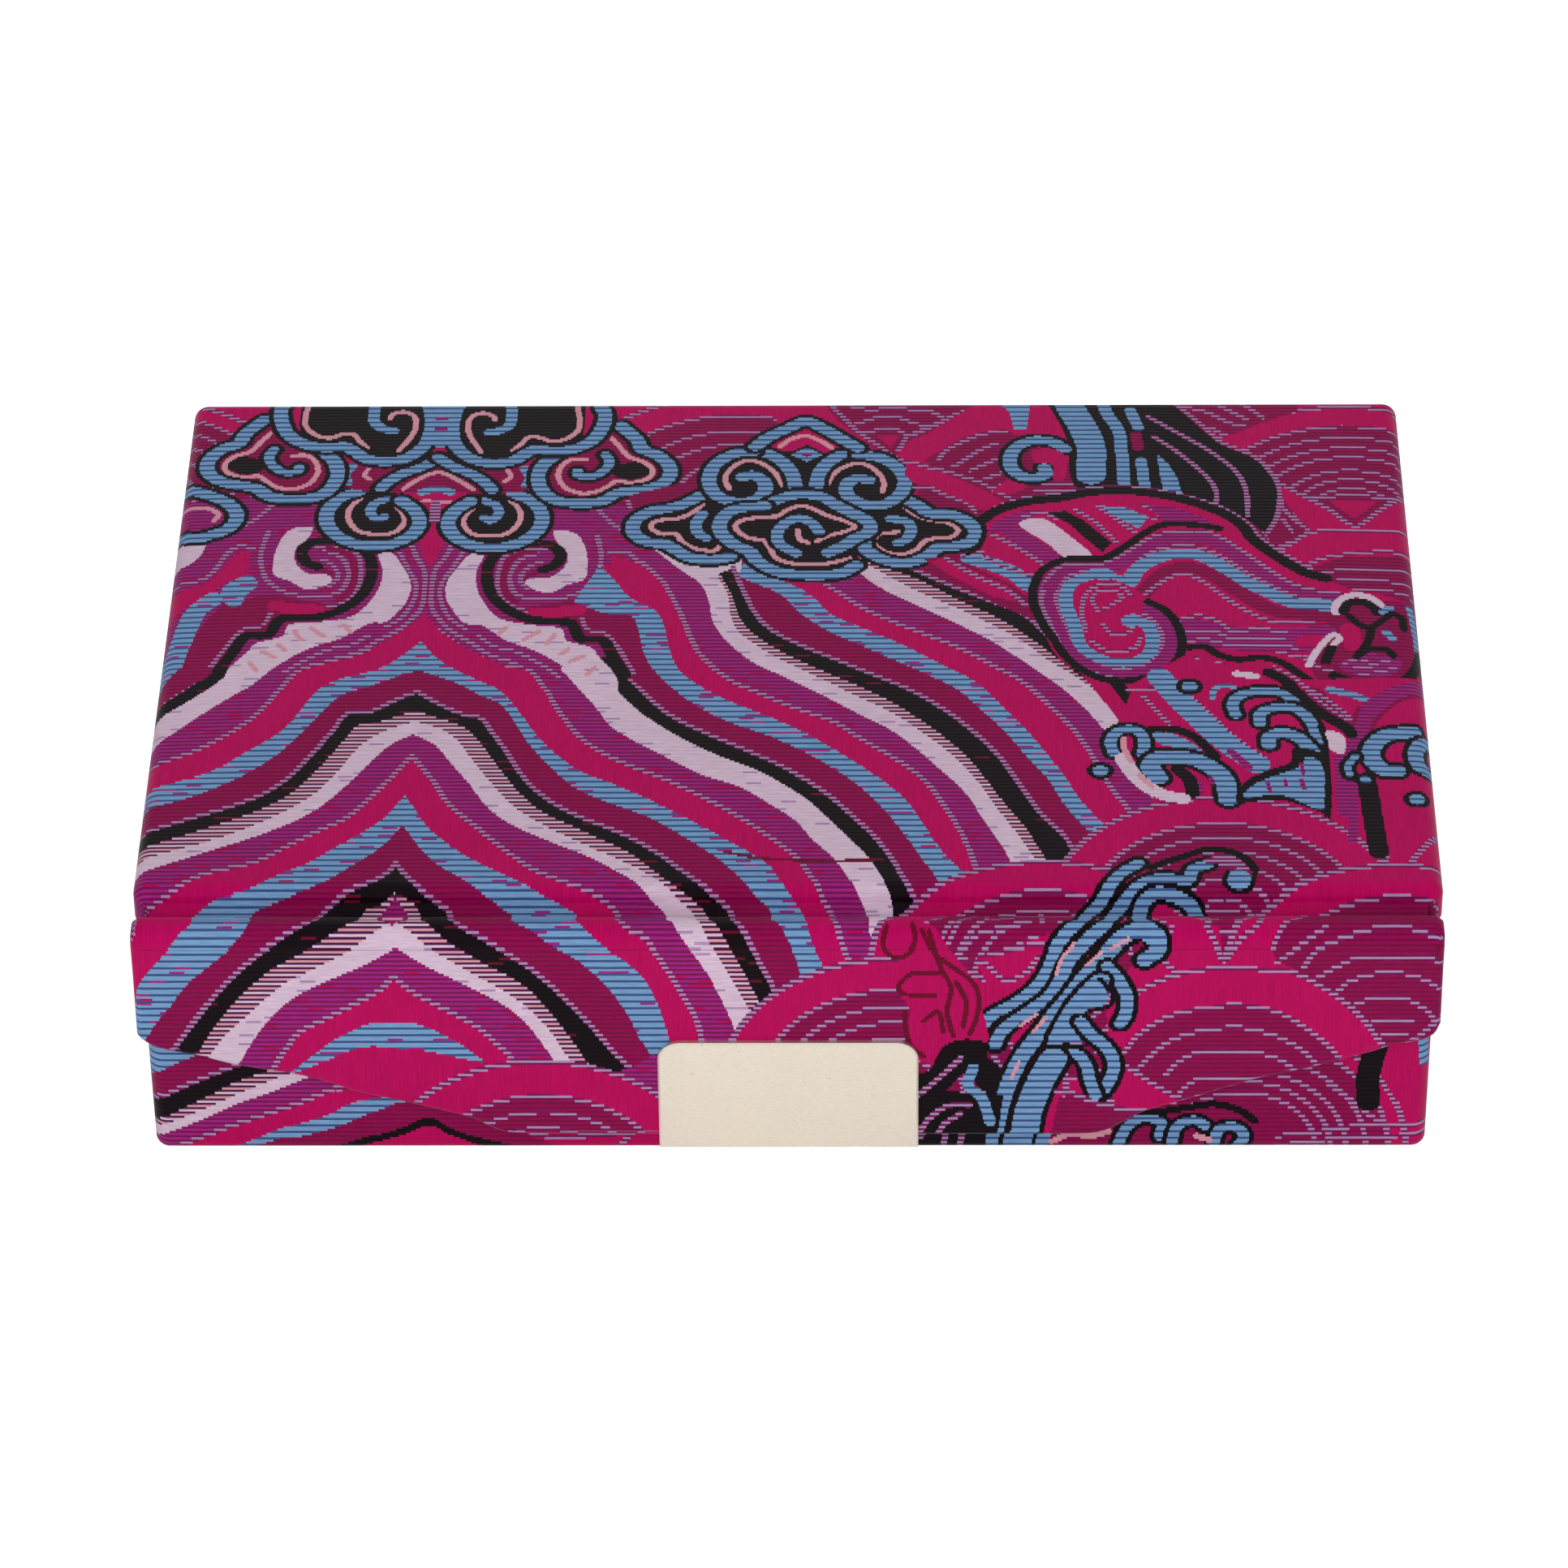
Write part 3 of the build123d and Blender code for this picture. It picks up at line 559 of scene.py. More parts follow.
sketch(c, """
cut wine -44,27.6 -42,28 -40,28.7 -37.5,29.3 -36.8,30 -39,31.2 -42,31.2 -43,33.3 -45.2,33.6 -47,38 -48,39.2 -50,37
 -49,33.5 -48.2,31 -47,29 -45.5,28.8
cut crimson -45.2,21.6 -46.5,22 -47.4,24 -48.5,25.9 -51.5,27.3 -51.5,31.5 -50.3,29.5 -48.2,27.4 -46.8,25.8 -45.2,25
line crimson 1.4 -42.6,29.3 -41,29.7 -38.6,30
fill blue -47,26.3 -45.2,25 -44.3,26.3 -45.2,27.8 -45.5,29 -46.4,29.2 -47.2,27.8
line blue 1.8 -47.9,28.2 -49.2,30 -50,33.5 -50.6,37
line lavender .45 -43.8,15 -45.2,17.2 -47,18.6 -49,19.6|-45,21.1 -46.3,20.9 -47.2,22 -48,24 -49,25.4
 -51.5,26.2|-43.9,19 -44.3,22 -43.9,24.8 -43,26.5 -41.6,27.6 -40,28 -38.4,28 -37.3,27.2 -36.8,25.4 -37.1,23.6
 -37.9,22.3 -39,21.7
line lavender .4 -38.4,29.7 -36.8,28.8 -36,27.3 -35.8,25 -36.1,22.6 -37,21.5 -38.5,20.9 -39.7,21.2|-38.3,26.6
 -37.7,25.6 -37.9,24.3 -38.6,23.3 -39.3,22.8|-42.9,30.2 -43.5,31.9 -45,32.4 -46.2,34.5 -47.4,37.4
line wine .6 -37.4,28.6 -36.5,27.2 -36.3,25 -36.6,23 -37.4,21.9 -38.7,21.4|-39,24.4 -38.3,25 -38.9,25.9
cut white -56,19 -51.5,19.6 -48.8,19.6 -49.3,22 -50.2,23.3 -51.5,24 -56,25
fill white -40.2,18.3 -42,18.6 -42.9,20.5 -43.2,23 -43,25 -41.6,25.9 -40.4,27 -39,26.8 -38.1,25.8 -38.8,25 -40,25
 -41,24 -41.5,22.5 -41.3,21 -40.6,20|-34.6,21.7 -33.3,22.2 -32.4,24 -31.6,26.2 -31.7,28.5 -32.6,30.6 -33.4,31.7
 -34.6,31.8 -35.8,32.8 -37,33.9 -39,34.9 -41,36.4 -42.8,38.5 -44.4,40.5 -46,40.2 -46,38 -44.5,35.5 -43.8,34.3
 -41.8,33.5 -41.3,31.9 -39,31.6 -36.3,30.9 -34.8,28.8 -34.1,26.5 -34,24.5
line peach .45 -40.8,32.8 -40.2,34|-39.5,32.4 -38.3,33.6|-43.3,35.5 -42.2,36.3|-44.2,37 -43.6,38|-36.8,32
 -36.2,33|-42,34.6 -41.4,35.4
line lavender .4 -34.6,33.4 -36,34.7 -37.6,35.2 -39.7,36.7 -41.3,38.3|-32.7,22 -31.9,24.4 -31.2,26.3 -31.2,28.5
 -32,30.9 -33.4,32.4
line lavender .45 -31.9,20.5 -31.3,22.7 -30.6,24.4 -30.4,26.5 -30.5,29.5 -31.2,31.2 -32.4,32.9 -34,34.3 -35.4,35.7
 -37.7,36.8
line black 1.05 -39.5,23.9 -40.5,23.2 -40.9,21.8 -40.3,20.6 -39,20.2 -37.5,20.4 -36,21.3 -35.1,23 -34.9,25 -35.2,27
 -36,28.7 -37.3,30 -39,30.9 -41.7,31 -42.3,31.5 -42.8,33 -43.4,33.3 -44.6,33.3 -45.1,33.8 -45.7,35.5 -46.7,37.8
""", mirror=True)
sketch(c, """
fill crimson -30.2,17.8 -29.2,20.5 -30.1,24 -31.1,20.5
cut crimson -30.3,30.5 -31.6,33 -33.8,35.2 -36.6,36.8 -34,38.3 -32,36.5 -30.3,34.3 -28.4,36.5 -25.6,38.6 -23.2,37.8
 -26.5,35.4 -28.8,33
""")

# the bands to the right of the scroll heads
c.stripes([flow(points("11,10 18,14 40,30 64,60")), *list(right_of.values())[:14]], [WINE, *(BAND * 2)[:13]])
for name, shift in (("lav2", [0, 0]), ("lav1", [0, 0]), ("black1_up", [0.1, -0.2]), ("black2_up", [0.1, -0.2])):
    c.line(right_of[name] + shift, THIN, LAVENDER)
for found, other, share, seed in ((BLUE, PURPLE, 0.13, 1), (BLACK, FLECK, 0.07, 2),
                                  (WHITE, LAVENDER, 0.08, 3), (PURPLE, CRIMSON, 0.1, 4)):
    c.flecks(found, other, share, seed)

# the cloud itself: dark cores, blue ribbons with a peach thread inside, from its foot upwards
sketch(c, """
open wine -45.4,3 -47.6,6 -49.7,8.5 -49.4,11 -46,13 -43,14.5 -39.5,14 -38.4,10 -40,6 -43,4
open black -37,13.4 -39.2,16 -38.8,19 -35.8,21 -32,19.4 -31.2,17 -33,14 -35,12.4
ribbon blue .9 -34.2,14.4 -35.2,15 -35.5,16.2 -34.9,17.2 -34.3,16.9
line peach .5 -36.2,13.9 -37.2,15.5 -37.3,17.2 -36.4,18.9 -35,19.4 -33.4,19.2 -32.6,17.8 -32.8,16.4 -33.3,15.6
ribbon blue 1.25 -36.6,13.2 -38.2,14.2 -39.1,16 -39,18 -37.8,19.9 -35.8,21 -33.6,20.9 -31.9,19.6 -31.3,17.8 -31.8,16
 -33,14.6
open wine -36.8,9.3 -38,12 -36,13.2 -30,13 -30,9 -33,9.3
line blue .8 -37.4,9.5 -37.9,10.8 -37.6,12
line peach .45 -36,9.9 -36.3,10.8 -35.8,11.5
""", mirror=True)
sketch(c, """
line peach .5 -32.9,12.9 -31.6,11.4 -30,10.5 -28.4,11.6 -27,13
""")
sketch(c, """
ribbon blue 1.1 -30,8.3 -31.5,9.7 -33,10.6 -34.2,11.8 -34.8,12.8
""", mirror=True)
sketch(c, """
line blue .9 -31.3,13.4 -30,12.9 -28.9,13.4
line lavender .9 -30,15 -30.1,17.5
line peach .4 -31.2,14.7 -30.5,14.7|-29.6,14.8 -28.9,14.8
""")
sketch(c, """
open black -46.9,7.8 -48.2,9.3 -46.5,10.6 -45,10 -45,8.6
ribbon blue .9 -44.2,7 -44.6,8.2 -44,9.6 -43,10.4 -42,10.2 -41.9,9.6
line peach .5 -44.7,4.6 -45.4,5.8 -46.2,7.2 -47.6,8 -48.3,9.2 -47.8,10.4 -46.5,11 -45.3,10.8 -44.6,11.6 -43.6,12.5
 -42.2,12.8 -40.9,12 -40.3,10.4 -40.6,8.8 -41.4,7.9 -42.6,7.9
ribbon blue 1.25 -45.4,2.6 -46.8,4.6 -47.3,6 -48.7,6.9 -49.7,8.5 -49.6,10.2 -48.5,11.5 -47,12.1 -45.4,12.6 -44.2,13.8
 -42.5,14.3 -40.5,14.1 -39.2,13 -38.6,11 -38.9,9 -39.8,7.6
open black -42,-12 -42.3,3 -41,5.8 -39,5.8 -37.5,6 -36,7.6 -34,8 -32.3,6.5 -31.9,3 -31.4,-12
ribbon blue 1 -35.4,-4 -35.9,0 -36,2.6 -35.2,3.9 -34.2,4.3
line peach .5 -41.2,-6 -41.5,-1 -41.9,2.5 -41.5,4 -40.6,5 -39.5,5.3 -38.6,4.8 -37.6,4.8 -37,5.8 -36.3,6.9|-34.6,2.4
 -34.4,1.8 -33.5,1.4 -32.6,2 -32.3,3.4 -32.6,5 -33.2,6.4 -33.6,7.2
ribbon blue 1.25 -43,-8 -43.5,-1 -44,1 -43.8,3 -43,5 -41.5,6.3 -39.8,6.8 -38.3,6.6 -37.3,7.4 -36.5,8.3 -35.3,8.8
 -34,8.8 -32.7,8.2 -31.6,6.8 -31.1,5.2 -31,3 -31.2,1 -31.6,-1 -31.8,-8
""", mirror=True)
sketch(c, """
line blue 1.3 -30.1,-5 -30.1,6.2
line purple .5 -30.5,2.5 -29.8,2.5|-30.5,4 -29.8,4
""")
# the end of the next cloud at the left edge
sketch(c, """
line black 2.1 -56,12 -51.5,12.6 -49.5,13.4 -47.6,14.7 -46.7,16.5 -47.3,18.3 -49,19.3 -50.5,19.5 -56,18
line blue 1.25 -56,12 -51.5,12.6 -49.5,13.4 -47.6,14.7 -46.7,16.5 -47.3,18.3 -49,19.3 -50.5,19.5 -56,18
line peach .5 -56,15.3 -51.5,15.3 -49.5,15.3 -48.3,16.2 -48.6,17.2
""")
tell("left cloud", c)

# %% [markdown]
# The middle cloud is made of curled ribbons round an eye. On the cloth a ribbon is a blue band
# between two dark lines, so the dark cores come first, then what lies inside them, and last the
# outer ribbons, each drawn once wide in black and once narrower in blue.

# %% Cartoon of the lid and flap: the middle cloud
sketch(c, """
cut wine -14,14 -9,12 -8,16 -12,17|3,-30 17,-30 16.8,1 12.6,4.2 10,5.7 8.7,8 8,8.4 5.6,5.2 4,3.3 2.6,.6
line lavender .45 3,-1 3.4,1 4.3,2.6 5.2,4.2 6.2,5.5 7.5,7 8.7,8.7 10,9.2|4.4,-1 5,.8 6.4,1.2 8,1.1 10,1.2 11.6,1.5
 12.6,2.4|5.3,3.3 6.2,2.9 7,2.4 8,2.1 8.9,2.4 9.7,3 10.7,3.5 11.6,3.5|5.3,4.8 6,4.8 7,4.3 8,4.05 8.8,4.3 9.4,4.9
 10.2,4.9|9.6,5.2 9.3,6.2 8.8,7.5
line lavender .6 14.9,1.3 13.8,2 12.3,3.3 11,4.3 10.2,4.9
cut crimson 7,5.1 9,5.1 8.2,7
fill black -7.8,14 -9.2,15.2 -10.4,15.8 -12,16.3 -13.2,17.6 -13.3,19.3 -12.2,20.6 -10.8,20.9 -9.9,21.6 -8.6,22.8
 -6.8,23.2 -5.2,22.8 -4,19 -5,15|9.2,14.5 10.4,15.4 11.5,16.6 13.2,16.8 14.6,17.8 15.3,19.2 14.9,20.6 13.6,21.3
 12.2,21.5 11.3,22.6 10,23.5 8.5,23.6 7,22.8 5,20.3 5,15|-3.4,7.5 -5,7.8 -6.5,9.2 -7.1,11 -7,12.8 -6.1,14.3 -4.5,15
 0,13 1,8|5.5,8 7.3,8.5 8.8,10 9.4,12 8.9,14 7.5,15.4 5,14 1,12.6 1,8|-2.4,15.5 .7,13.8 3.6,15.4 6.3,17.8 5.2,20.2
 5.3,24 2.5,25.4 -1.3,24.8 -4.9,21 -6,19.3 -4.9,16
ribbon blue 1 -7.6,16.7 -8.1,18 -7.9,19.4 -7.2,20.1|8.2,17.4 9.5,17.8 9.9,19 9.5,20.3 8.8,20.9
line peach .5 -7.6,15.3 -8.6,16.6 -9.7,17.3 -11.3,17.6 -11.9,18.5 -11,19.5 -9.8,19.5 -9.2,20.6 -8.1,21.6 -6.6,21.9
 -6.1,21.3|9.4,15.7 10.3,16.9 11.5,17.6 12.8,17.9 13.8,18.9 13.3,20 11.9,20.2 11,20.6 10.3,21.8 9,22.5 7.6,22 6.8,20.8
 7.2,19.6 8.8,19.3|-5.4,13 -5.8,11.5 -5.2,9.9 -3.9,8.8 -2.6,9.4 -1.5,10.8 -.9,12.6|2.8,12.6 3.3,11 4.3,9.8 5.7,9.3
 6.9,10.3 7.6,12 7.5,13.4
ribbon blue 1.25 -7.8,14 -9.2,15.2 -10.4,15.8 -12,16.3 -13.2,17.6 -13.3,19.3 -12.2,20.6 -10.8,20.9 -9.9,21.6 -8.6,22.8
 -6.8,23.2 -5.2,22.8|9.2,14.5 10.4,15.4 11.5,16.6 13.2,16.8 14.6,17.8 15.3,19.2 14.9,20.6 13.6,21.3 12.2,21.5
 11.3,22.6 10,23.5 8.5,23.6 7,22.8 6,21.5 6,20.3|-3.4,7.5 -2,8 -.8,9.3 -.1,11 .2,12.8|4,8 2.8,9.3 2.1,11
 1.9,12.8|-3.4,7.5 -5,7.8 -6.5,9.2 -7.1,11 -7,12.8 -6.1,14.3 -4.5,15 -3.2,14.6 -2.4,13.4 -2.5,12 -3.4,11
 -4.3,11.3|5.5,8 7.3,8.5 8.8,10 9.4,12 8.9,14 7.5,15.4 5.8,15.2 4.6,14 4.5,12.4 5.4,11.5 6.3,11.8|-3.3,6.8 -2.2,5.4
 -.5,4 1,3 2.5,4.1 4,5.6 5.4,7
line peach .5 -1.2,6.8 -.3,5.7 1,5.2 2.2,5.9 3.2,7
cut black -.7,8 1.1,6.5 2.9,8 1.1,9.5
cut blue -.3,8 1.1,6.9 2.5,8 1.1,9.1
cut purple .6,8 1.1,7.6 1.6,8 1.1,8.4
""")
# the eye: an outer ribbon, a peach thread and a spiral
sketch(c, """
line peach .5 -1.2,17 -3,17.2 -4.3,17.6 -4.8,18.6 -3.8,20 -2.4,20.5 -1.9,21.5 -1.3,23 0,23.7 2,23.9 3.6,23.5
 4.8,23|-1.2,17 -.4,16 .8,15.5 2,16.2 3,17 4.5,17.8 5.2,18.6 4.2,19.3 3,19.8 2,20.6
ribbon blue 1.25 -2.4,15.5 -1,14.4 .7,13.8 2.5,14.3 3.6,15.4 5,16.6 6.3,17.8 6.4,19.2 5.2,20.2 4.3,21.2
 3,22.2|-2.4,15.5 -4.9,16 -6,17.5 -6,19.3 -4.9,21 -3.6,22 -2.8,23.5 -1.3,24.8 .5,25.3 2.5,25.4 4.2,25 5.3,24
ribbon blue 1.05 .3,22.3 -1,21 -1.3,19.4 -.6,18 .5,17.3 1.6,18 2.2,19.2
line peach .5 .4,19 .6,20.3 1.3,20.8
""")
tell("middle cloud", c)

# %% [markdown]
# At the top right, fish scales stand at the edge and stems fall towards the rock. The ribs of the
# waves are thin lavender lines. A weaver can't make them thinner than one weft, so here they are
# one or two squares of the cartoon thick.

# %% Cartoon of the lid and flap: right-hand top
sketch(c, """
cut crimson 9,9 14,4 17.5,-2 17.5,-30 64,-30 64,62 44,62 34,50 28,48 20,31 16,24 16,16|9,7.5 17.5,-2 17.5,-2 21,3
 24,10 24,14 18,15 14,12
cut wine 11,8.9 14,5.8 16,4.6 18,4.3 24,10 24,14 18,15 14,12
""")
# the scales at the right edge
c.scale((47, 16.5), 15.5, [12.6, 11, 9.5, 8.1, 6.2, 4.9, 3.6])
sketch(c, """
cut crimson 41,12.4 43,14.3 45,16 47,18.2 49,16 51,14.2 64,3 64,19 43.4,19.2 42,16.6 40.9,14
line lavender .45 41,12.3 43,14.2 45,16 47,18.3 49,16.2 51,14.2 56,10|43.2,14.3 45.2,14.1 47,13.9 49,14.1 51,14.3
cut crimson 44.9,14.6 47,17.3 49.2,14.6
cut wine 40.9,15 42,17.2 43.3,19.6 41.6,20.6 40.2,21.4 39.4,19.4
line lavender .4 40.9,15.4 41.9,17.4 43.3,19.6 41.5,20.7 40.2,21.6|41,17.4 41.7,19.2
cut crimson 40.5,21.6 43.4,19.2 64,19.2 64,30 43,30
line lavender .45 40.4,21.8 41.6,20.9 43.4,19.2 47,19 52,19|42.4,24.4 43.6,23.2 45.5,22.4 48,21.9 50.3,21.9 56,23
cut wine 42.6,24.5 45.5,22.8 50.3,22.3 56,23.4 56,28.6 51,29 48.5,27.6 45.5,27.4
line lavender .42 43.4,25.4 45,24.6 48,24.3 52,24.6|45,26 47,25.7 49.5,26 52,26.6|46.5,27.2 49,27.2 51.5,28
""")
# the ground beside them, then the falling stems
sketch(c, """
line lavender .45 12.3,8.6 13,7.3 14.5,6 16,5 18,4.6|13.4,9.9 14.5,8.8 15.6,7.5 17.2,6.3|14.9,10.4 16.4,9.3
 17.4,8.5|16.2,11.6 17.8,10.6|17,12.8 18.4,12.2|9,8.9 10.5,9.4 11.5,10 13,10.5 14.3,11.3 15.7,12.1 16.8,13.1
 18.2,14.5|10.2,12.8 11.5,12.9 12.5,13.8 13.7,14.5 14.8,15.4 15.3,16.4|20.8,12.3 23.6,12.3|20.4,13.3 23.8,13.4
cut crimson 9.5,9.6 11,10.3 13,11 15,12.4 16.6,13.8 17.6,15 16.6,16.2 15.5,15.9 14,14.6 12.5,13.4 11.5,12.6 10.2,12.4
 9.4,11|18.3,11.4 19.8,12.8 18.4,13.9 16.6,13.6
cut wine 33,-30 46,-30 43,1.6 40,3.2 37.2,5.2 35.5,4.5 33,1
line lavender .45 33,.8 35.2,1.7 37.2,3.4 38.4,3.9|34.5,-1 36.6,1 38.6,2.8|37,-1 38.8,1 40,2.6|35.4,4 36.6,5.2
fill black 21.5,-2 22,1.4 22.9,4.4 23.3,7 23.3,10 23.7,12.6 25,13.3 27,13.4 30,14.2 33,14.4 35.5,15.7 38,17.5
 39.4,19.2 40.3,17 40.7,14 40.3,11.3 38.8,8.5 36.3,6.6 34.8,4.4 32.6,.9 30,-2
cut blue 17,-30 17.3,0 18.3,1.5 18.7,4.2 19.8,4.2 20.1,1 20.3,-30
line blue 2.5 22.9,-6 23.4,0 24.6,4 25.2,7 25.1,11.2
line blue 1.1 26.2,-2 26.6,1.5 27.6,4.5 27.8,8 27.9,12.4
line blue 1 28.7,1.5 29.3,4|29.4,9 29.6,13
cut blue 30.8,8 31.7,9.5 32.4,11.5 32.7,14 31.2,13.8 30.9,11
line wine 1 29.1,5.2 29.2,7
line lavender .45 30.5,5.3 32.6,7.8 34.8,11.2 35.6,13.6 35.4,15.8|30.2,2.4 32.7,4.9 35.3,7.6 37.4,10.6 38.1,13.5
 38.1,17|32.6,.4 34.7,3.6 36.4,6.3 39,8.3 40.6,11.4 40.9,14 40.5,17.2 39.7,19.2
ribbon blue 1.2 23,7.2 22,6.2 20.5,5.9 19.2,6.6 18.4,8 18.4,9.9 19.2,11.2 20.4,11.5 21.3,10.9 21.2,10
fill crimson 20.3,7.4 22,7.2 23,8.4 22.9,11.6 21.9,11.6 21.9,9.6 20.4,9.2
""")
tell("right-hand top", c)

# %% [markdown]
# The rock is the densest part of the figure. On the loom each colour is a weft of its own, which
# lies on the other side of the cloth where it isn't wanted. In the cartoon a later stroke simply
# covers an earlier one, so the rock is built up from its ground to its outlines.

# %% Cartoon of the lid and flap: the rock
sketch(c, """
fill crimson 15.8,17.8 17,16.3 19.5,15 22.5,14.4 25,13.6 28,13.4 31,14 33.5,15 36,16.6 37.5,18.3 38.5,20.5 40.5,23
 42.5,24.8 46,27 50,30 46,40 36,38 31,40 26,40 22,37 20,31 17,27 13,24 15.6,22
cut wine 11,23.2 13,22.6 15,24.2 18,26.6 19.6,28.6 19.8,31.5 17,29.5 13,26.2
cut crimson 11.3,23.4 13,23 15,24.8 18,27 19.2,29.4 16.5,28.3 13,25.3
line blue 1.7 14.8,23 16.6,23.9 18.4,25.2 19.6,26.8
line lavender .45 14.2,22.6 15.8,22.2|16,23 17.9,24.4 20,25.6|12.8,23 15,25.3 17.9,27.6 19.3,29.6|16.6,19.6 18.6,21.4
 20.8,23.8
cut purple 17,19 18.6,18.2 20.3,20.2 22.4,22.8 21.2,23.7 19,21.5|16.2,19.4 17,17.6 19.4,16.2 21,16.4 19,18.2 17.4,19.2
fill white 18.9,18.3 20.3,17.3 21.5,17.8 23.2,20 24.9,22.7 22.7,22.9 21.2,20.9
cut black 21.2,16.6 22.8,16.3 24.3,17.6 26.6,20.9 25.8,22.2 24.4,20.2 23,18
line lavender .4 23.7,16.2 25.3,17.9 27,20.8|19,17.3 20.8,16.5 22,17.4
cut blue 25.8,15.6 28,15.9 29.8,17.2 28.9,18.9 27.3,17.4
line lavender .4 29.3,15.4 30.8,16.4 33,16.6|30.2,17.4 31.6,16.9 33.6,17.8 35,18.8|25.6,15.6 27.3,17.8 28.6,19.4
cut purple 29.8,15.6 32,15.8 34.5,17.4 36,19 34,18 31,17.8
line purple 1.7 21,31.5 21,28.4 21.7,25.8 23.2,24.4 25.8,24.5 28,22.9 30.5,20.6 33,20.1 35.4,20.8 37.6,23.2 40.2,26.2
 43,28.2 46,29
line lavender .4 20.6,30.5 20.7,27.6 21.6,25 23,23.9 25.5,23.9 27.6,22.4 30,20 32,19.3 34.6,19.3 36.8,21.2 39.4,24.4
 42,26.9 46,28|22,30 22,27.6 22.9,25.6 24.4,24.8|28,24.6 29.6,22.4 31.5,21.4 33.6,21.4 35.6,22.7 37.8,25.1 40,27.1
 42,28.4 45,28.9
line blue 1.45 26.4,25.9 27.9,26.4 28.4,25 29.8,23.4 31.5,22.5 33.5,22.5 35.2,23.7 37.2,25.9 39.4,27.8 41.5,29.2
 44.6,29.5
line wine 1.5 29,28 30.2,26 31.5,24.6 33.2,24.4 35,25.6 37.4,28.2 40,30.4 44.5,31
line lavender .42 28.8,28.5 30,27 31.2,25.8 32.4,25.2 34,26.3 36.2,29 38.3,31 40,31.8 44,32
line purple 3.2 33,33 36,34 40,34.2 43,34
line lavender .42 31.8,31.6 33.5,31 35,31.7 36,33 37,33.1 38.5,32.6 40,33.2 42,33.1|32,33 34.5,33 36,34 38.5,34
 41,33.8|32.3,34.5 34,34.2 36,35 38,35 40,34.8 41.3,35.4
fill crimson 22.4,26.6 25,25.6 28,27 31,31 31.3,34.5 30,37.6 27,39 24,37.4 22,33.6 21.4,30
line purple 1.3 21.4,26.8 21.2,29 22,32.5 22.9,35.5 24.4,37.7 26.5,38.8 29,38.2 30.6,36.3 31.1,34 30.6,31.8 29.4,30
line lavender .4 20.8,27.4 20.6,29.2 21.4,32.6 22.3,35.7 23.9,38.2 26.4,39.4|22,27.4 21.8,29 22.6,32.3 23.4,35 24.8,37
 26.6,38.1 28.7,37.6 30,35.9 30.4,34 29.9,32 28.9,30.7
line blue 1.15 25.3,25.2 23.4,26.3 22.7,27.8 22.7,30 23.3,32.5 23.6,34.7 24.4,36.1 26,37.2 27.8,37.3 29.2,36.2
 29.6,34.2 29.3,32.5 28.3,31.6 27.7,31.9
line blue 1.6 25.3,25.2 25.9,25.3|27.9,31.7 28.1,31.6
line lavender .4 24.2,33 23.9,31 24,29.2 24.6,27.5 26,26.6 27.4,27.1 28,28.3|25.2,30.3 24.8,28.8 25.3,27.7 26.3,27.5
 27.3,28.3 26.6,29.3 25.7,30.1|25.6,32.3 26.2,33.4 27.3,33.5 28,32.8|24.6,34.4 25.6,35.6 27,35.9 28.2,35.2 28.7,33.8
line black .8 35.6,18.8 33.5,18.3 31,18.3 29.5,19.4 27.8,21.3 26,23 24.4,23.1 22.5,23.3 20.8,24.7 20,27 19.9,29
 20.5,31.6 21.6,34.5 22.6,36.8 24.2,38.7 26,39.7 28,39.6 30.2,38.7 31.6,36.8 32,34.5 31.6,32 30.7,30.2 29.4,29.1
line black 1.1 26.3,39.7 27.5,42.3 28.9,45.4
line lavender .4 15.6,17.4 17,15.8 19.4,14.4 22.4,13.8 25,13 28,12.8 31,13.4 33.6,14.4 36.2,16 38.1,18.1 39.1,20.2
 41,22.4 43,24.4
line black 1.1 15.9,17.6 17,16.3 19.5,15 22.5,14.4 25,13.6 28,13.4 31,14 33.5,15 36,16.6 37.5,18.3 38.5,20.5 40.5,23
 42.5,24.9 44.2,25.7
line black .5 15.8,17.8 16,19.4 15.5,21.4 14.6,22.4
line black .8 32.6,35.3 33.8,35.2 35,36.3 36.5,36.9 38.3,36.6 40,37.2 41.2,38.5 42.3,39.7
line lavender .4 33,36.6 33.6,38.2 34,40|34.6,37.2 36,38|42.4,36.8 41.2,36.4 39.8,35.8
""")
tell("rock", c)

# %% [markdown]
# A small knot of leaves runs off the right edge. Such cloth is woven by the metre and cut to size
# later, so a figure doesn't stop at an edge, and the strokes here go on beyond it too.

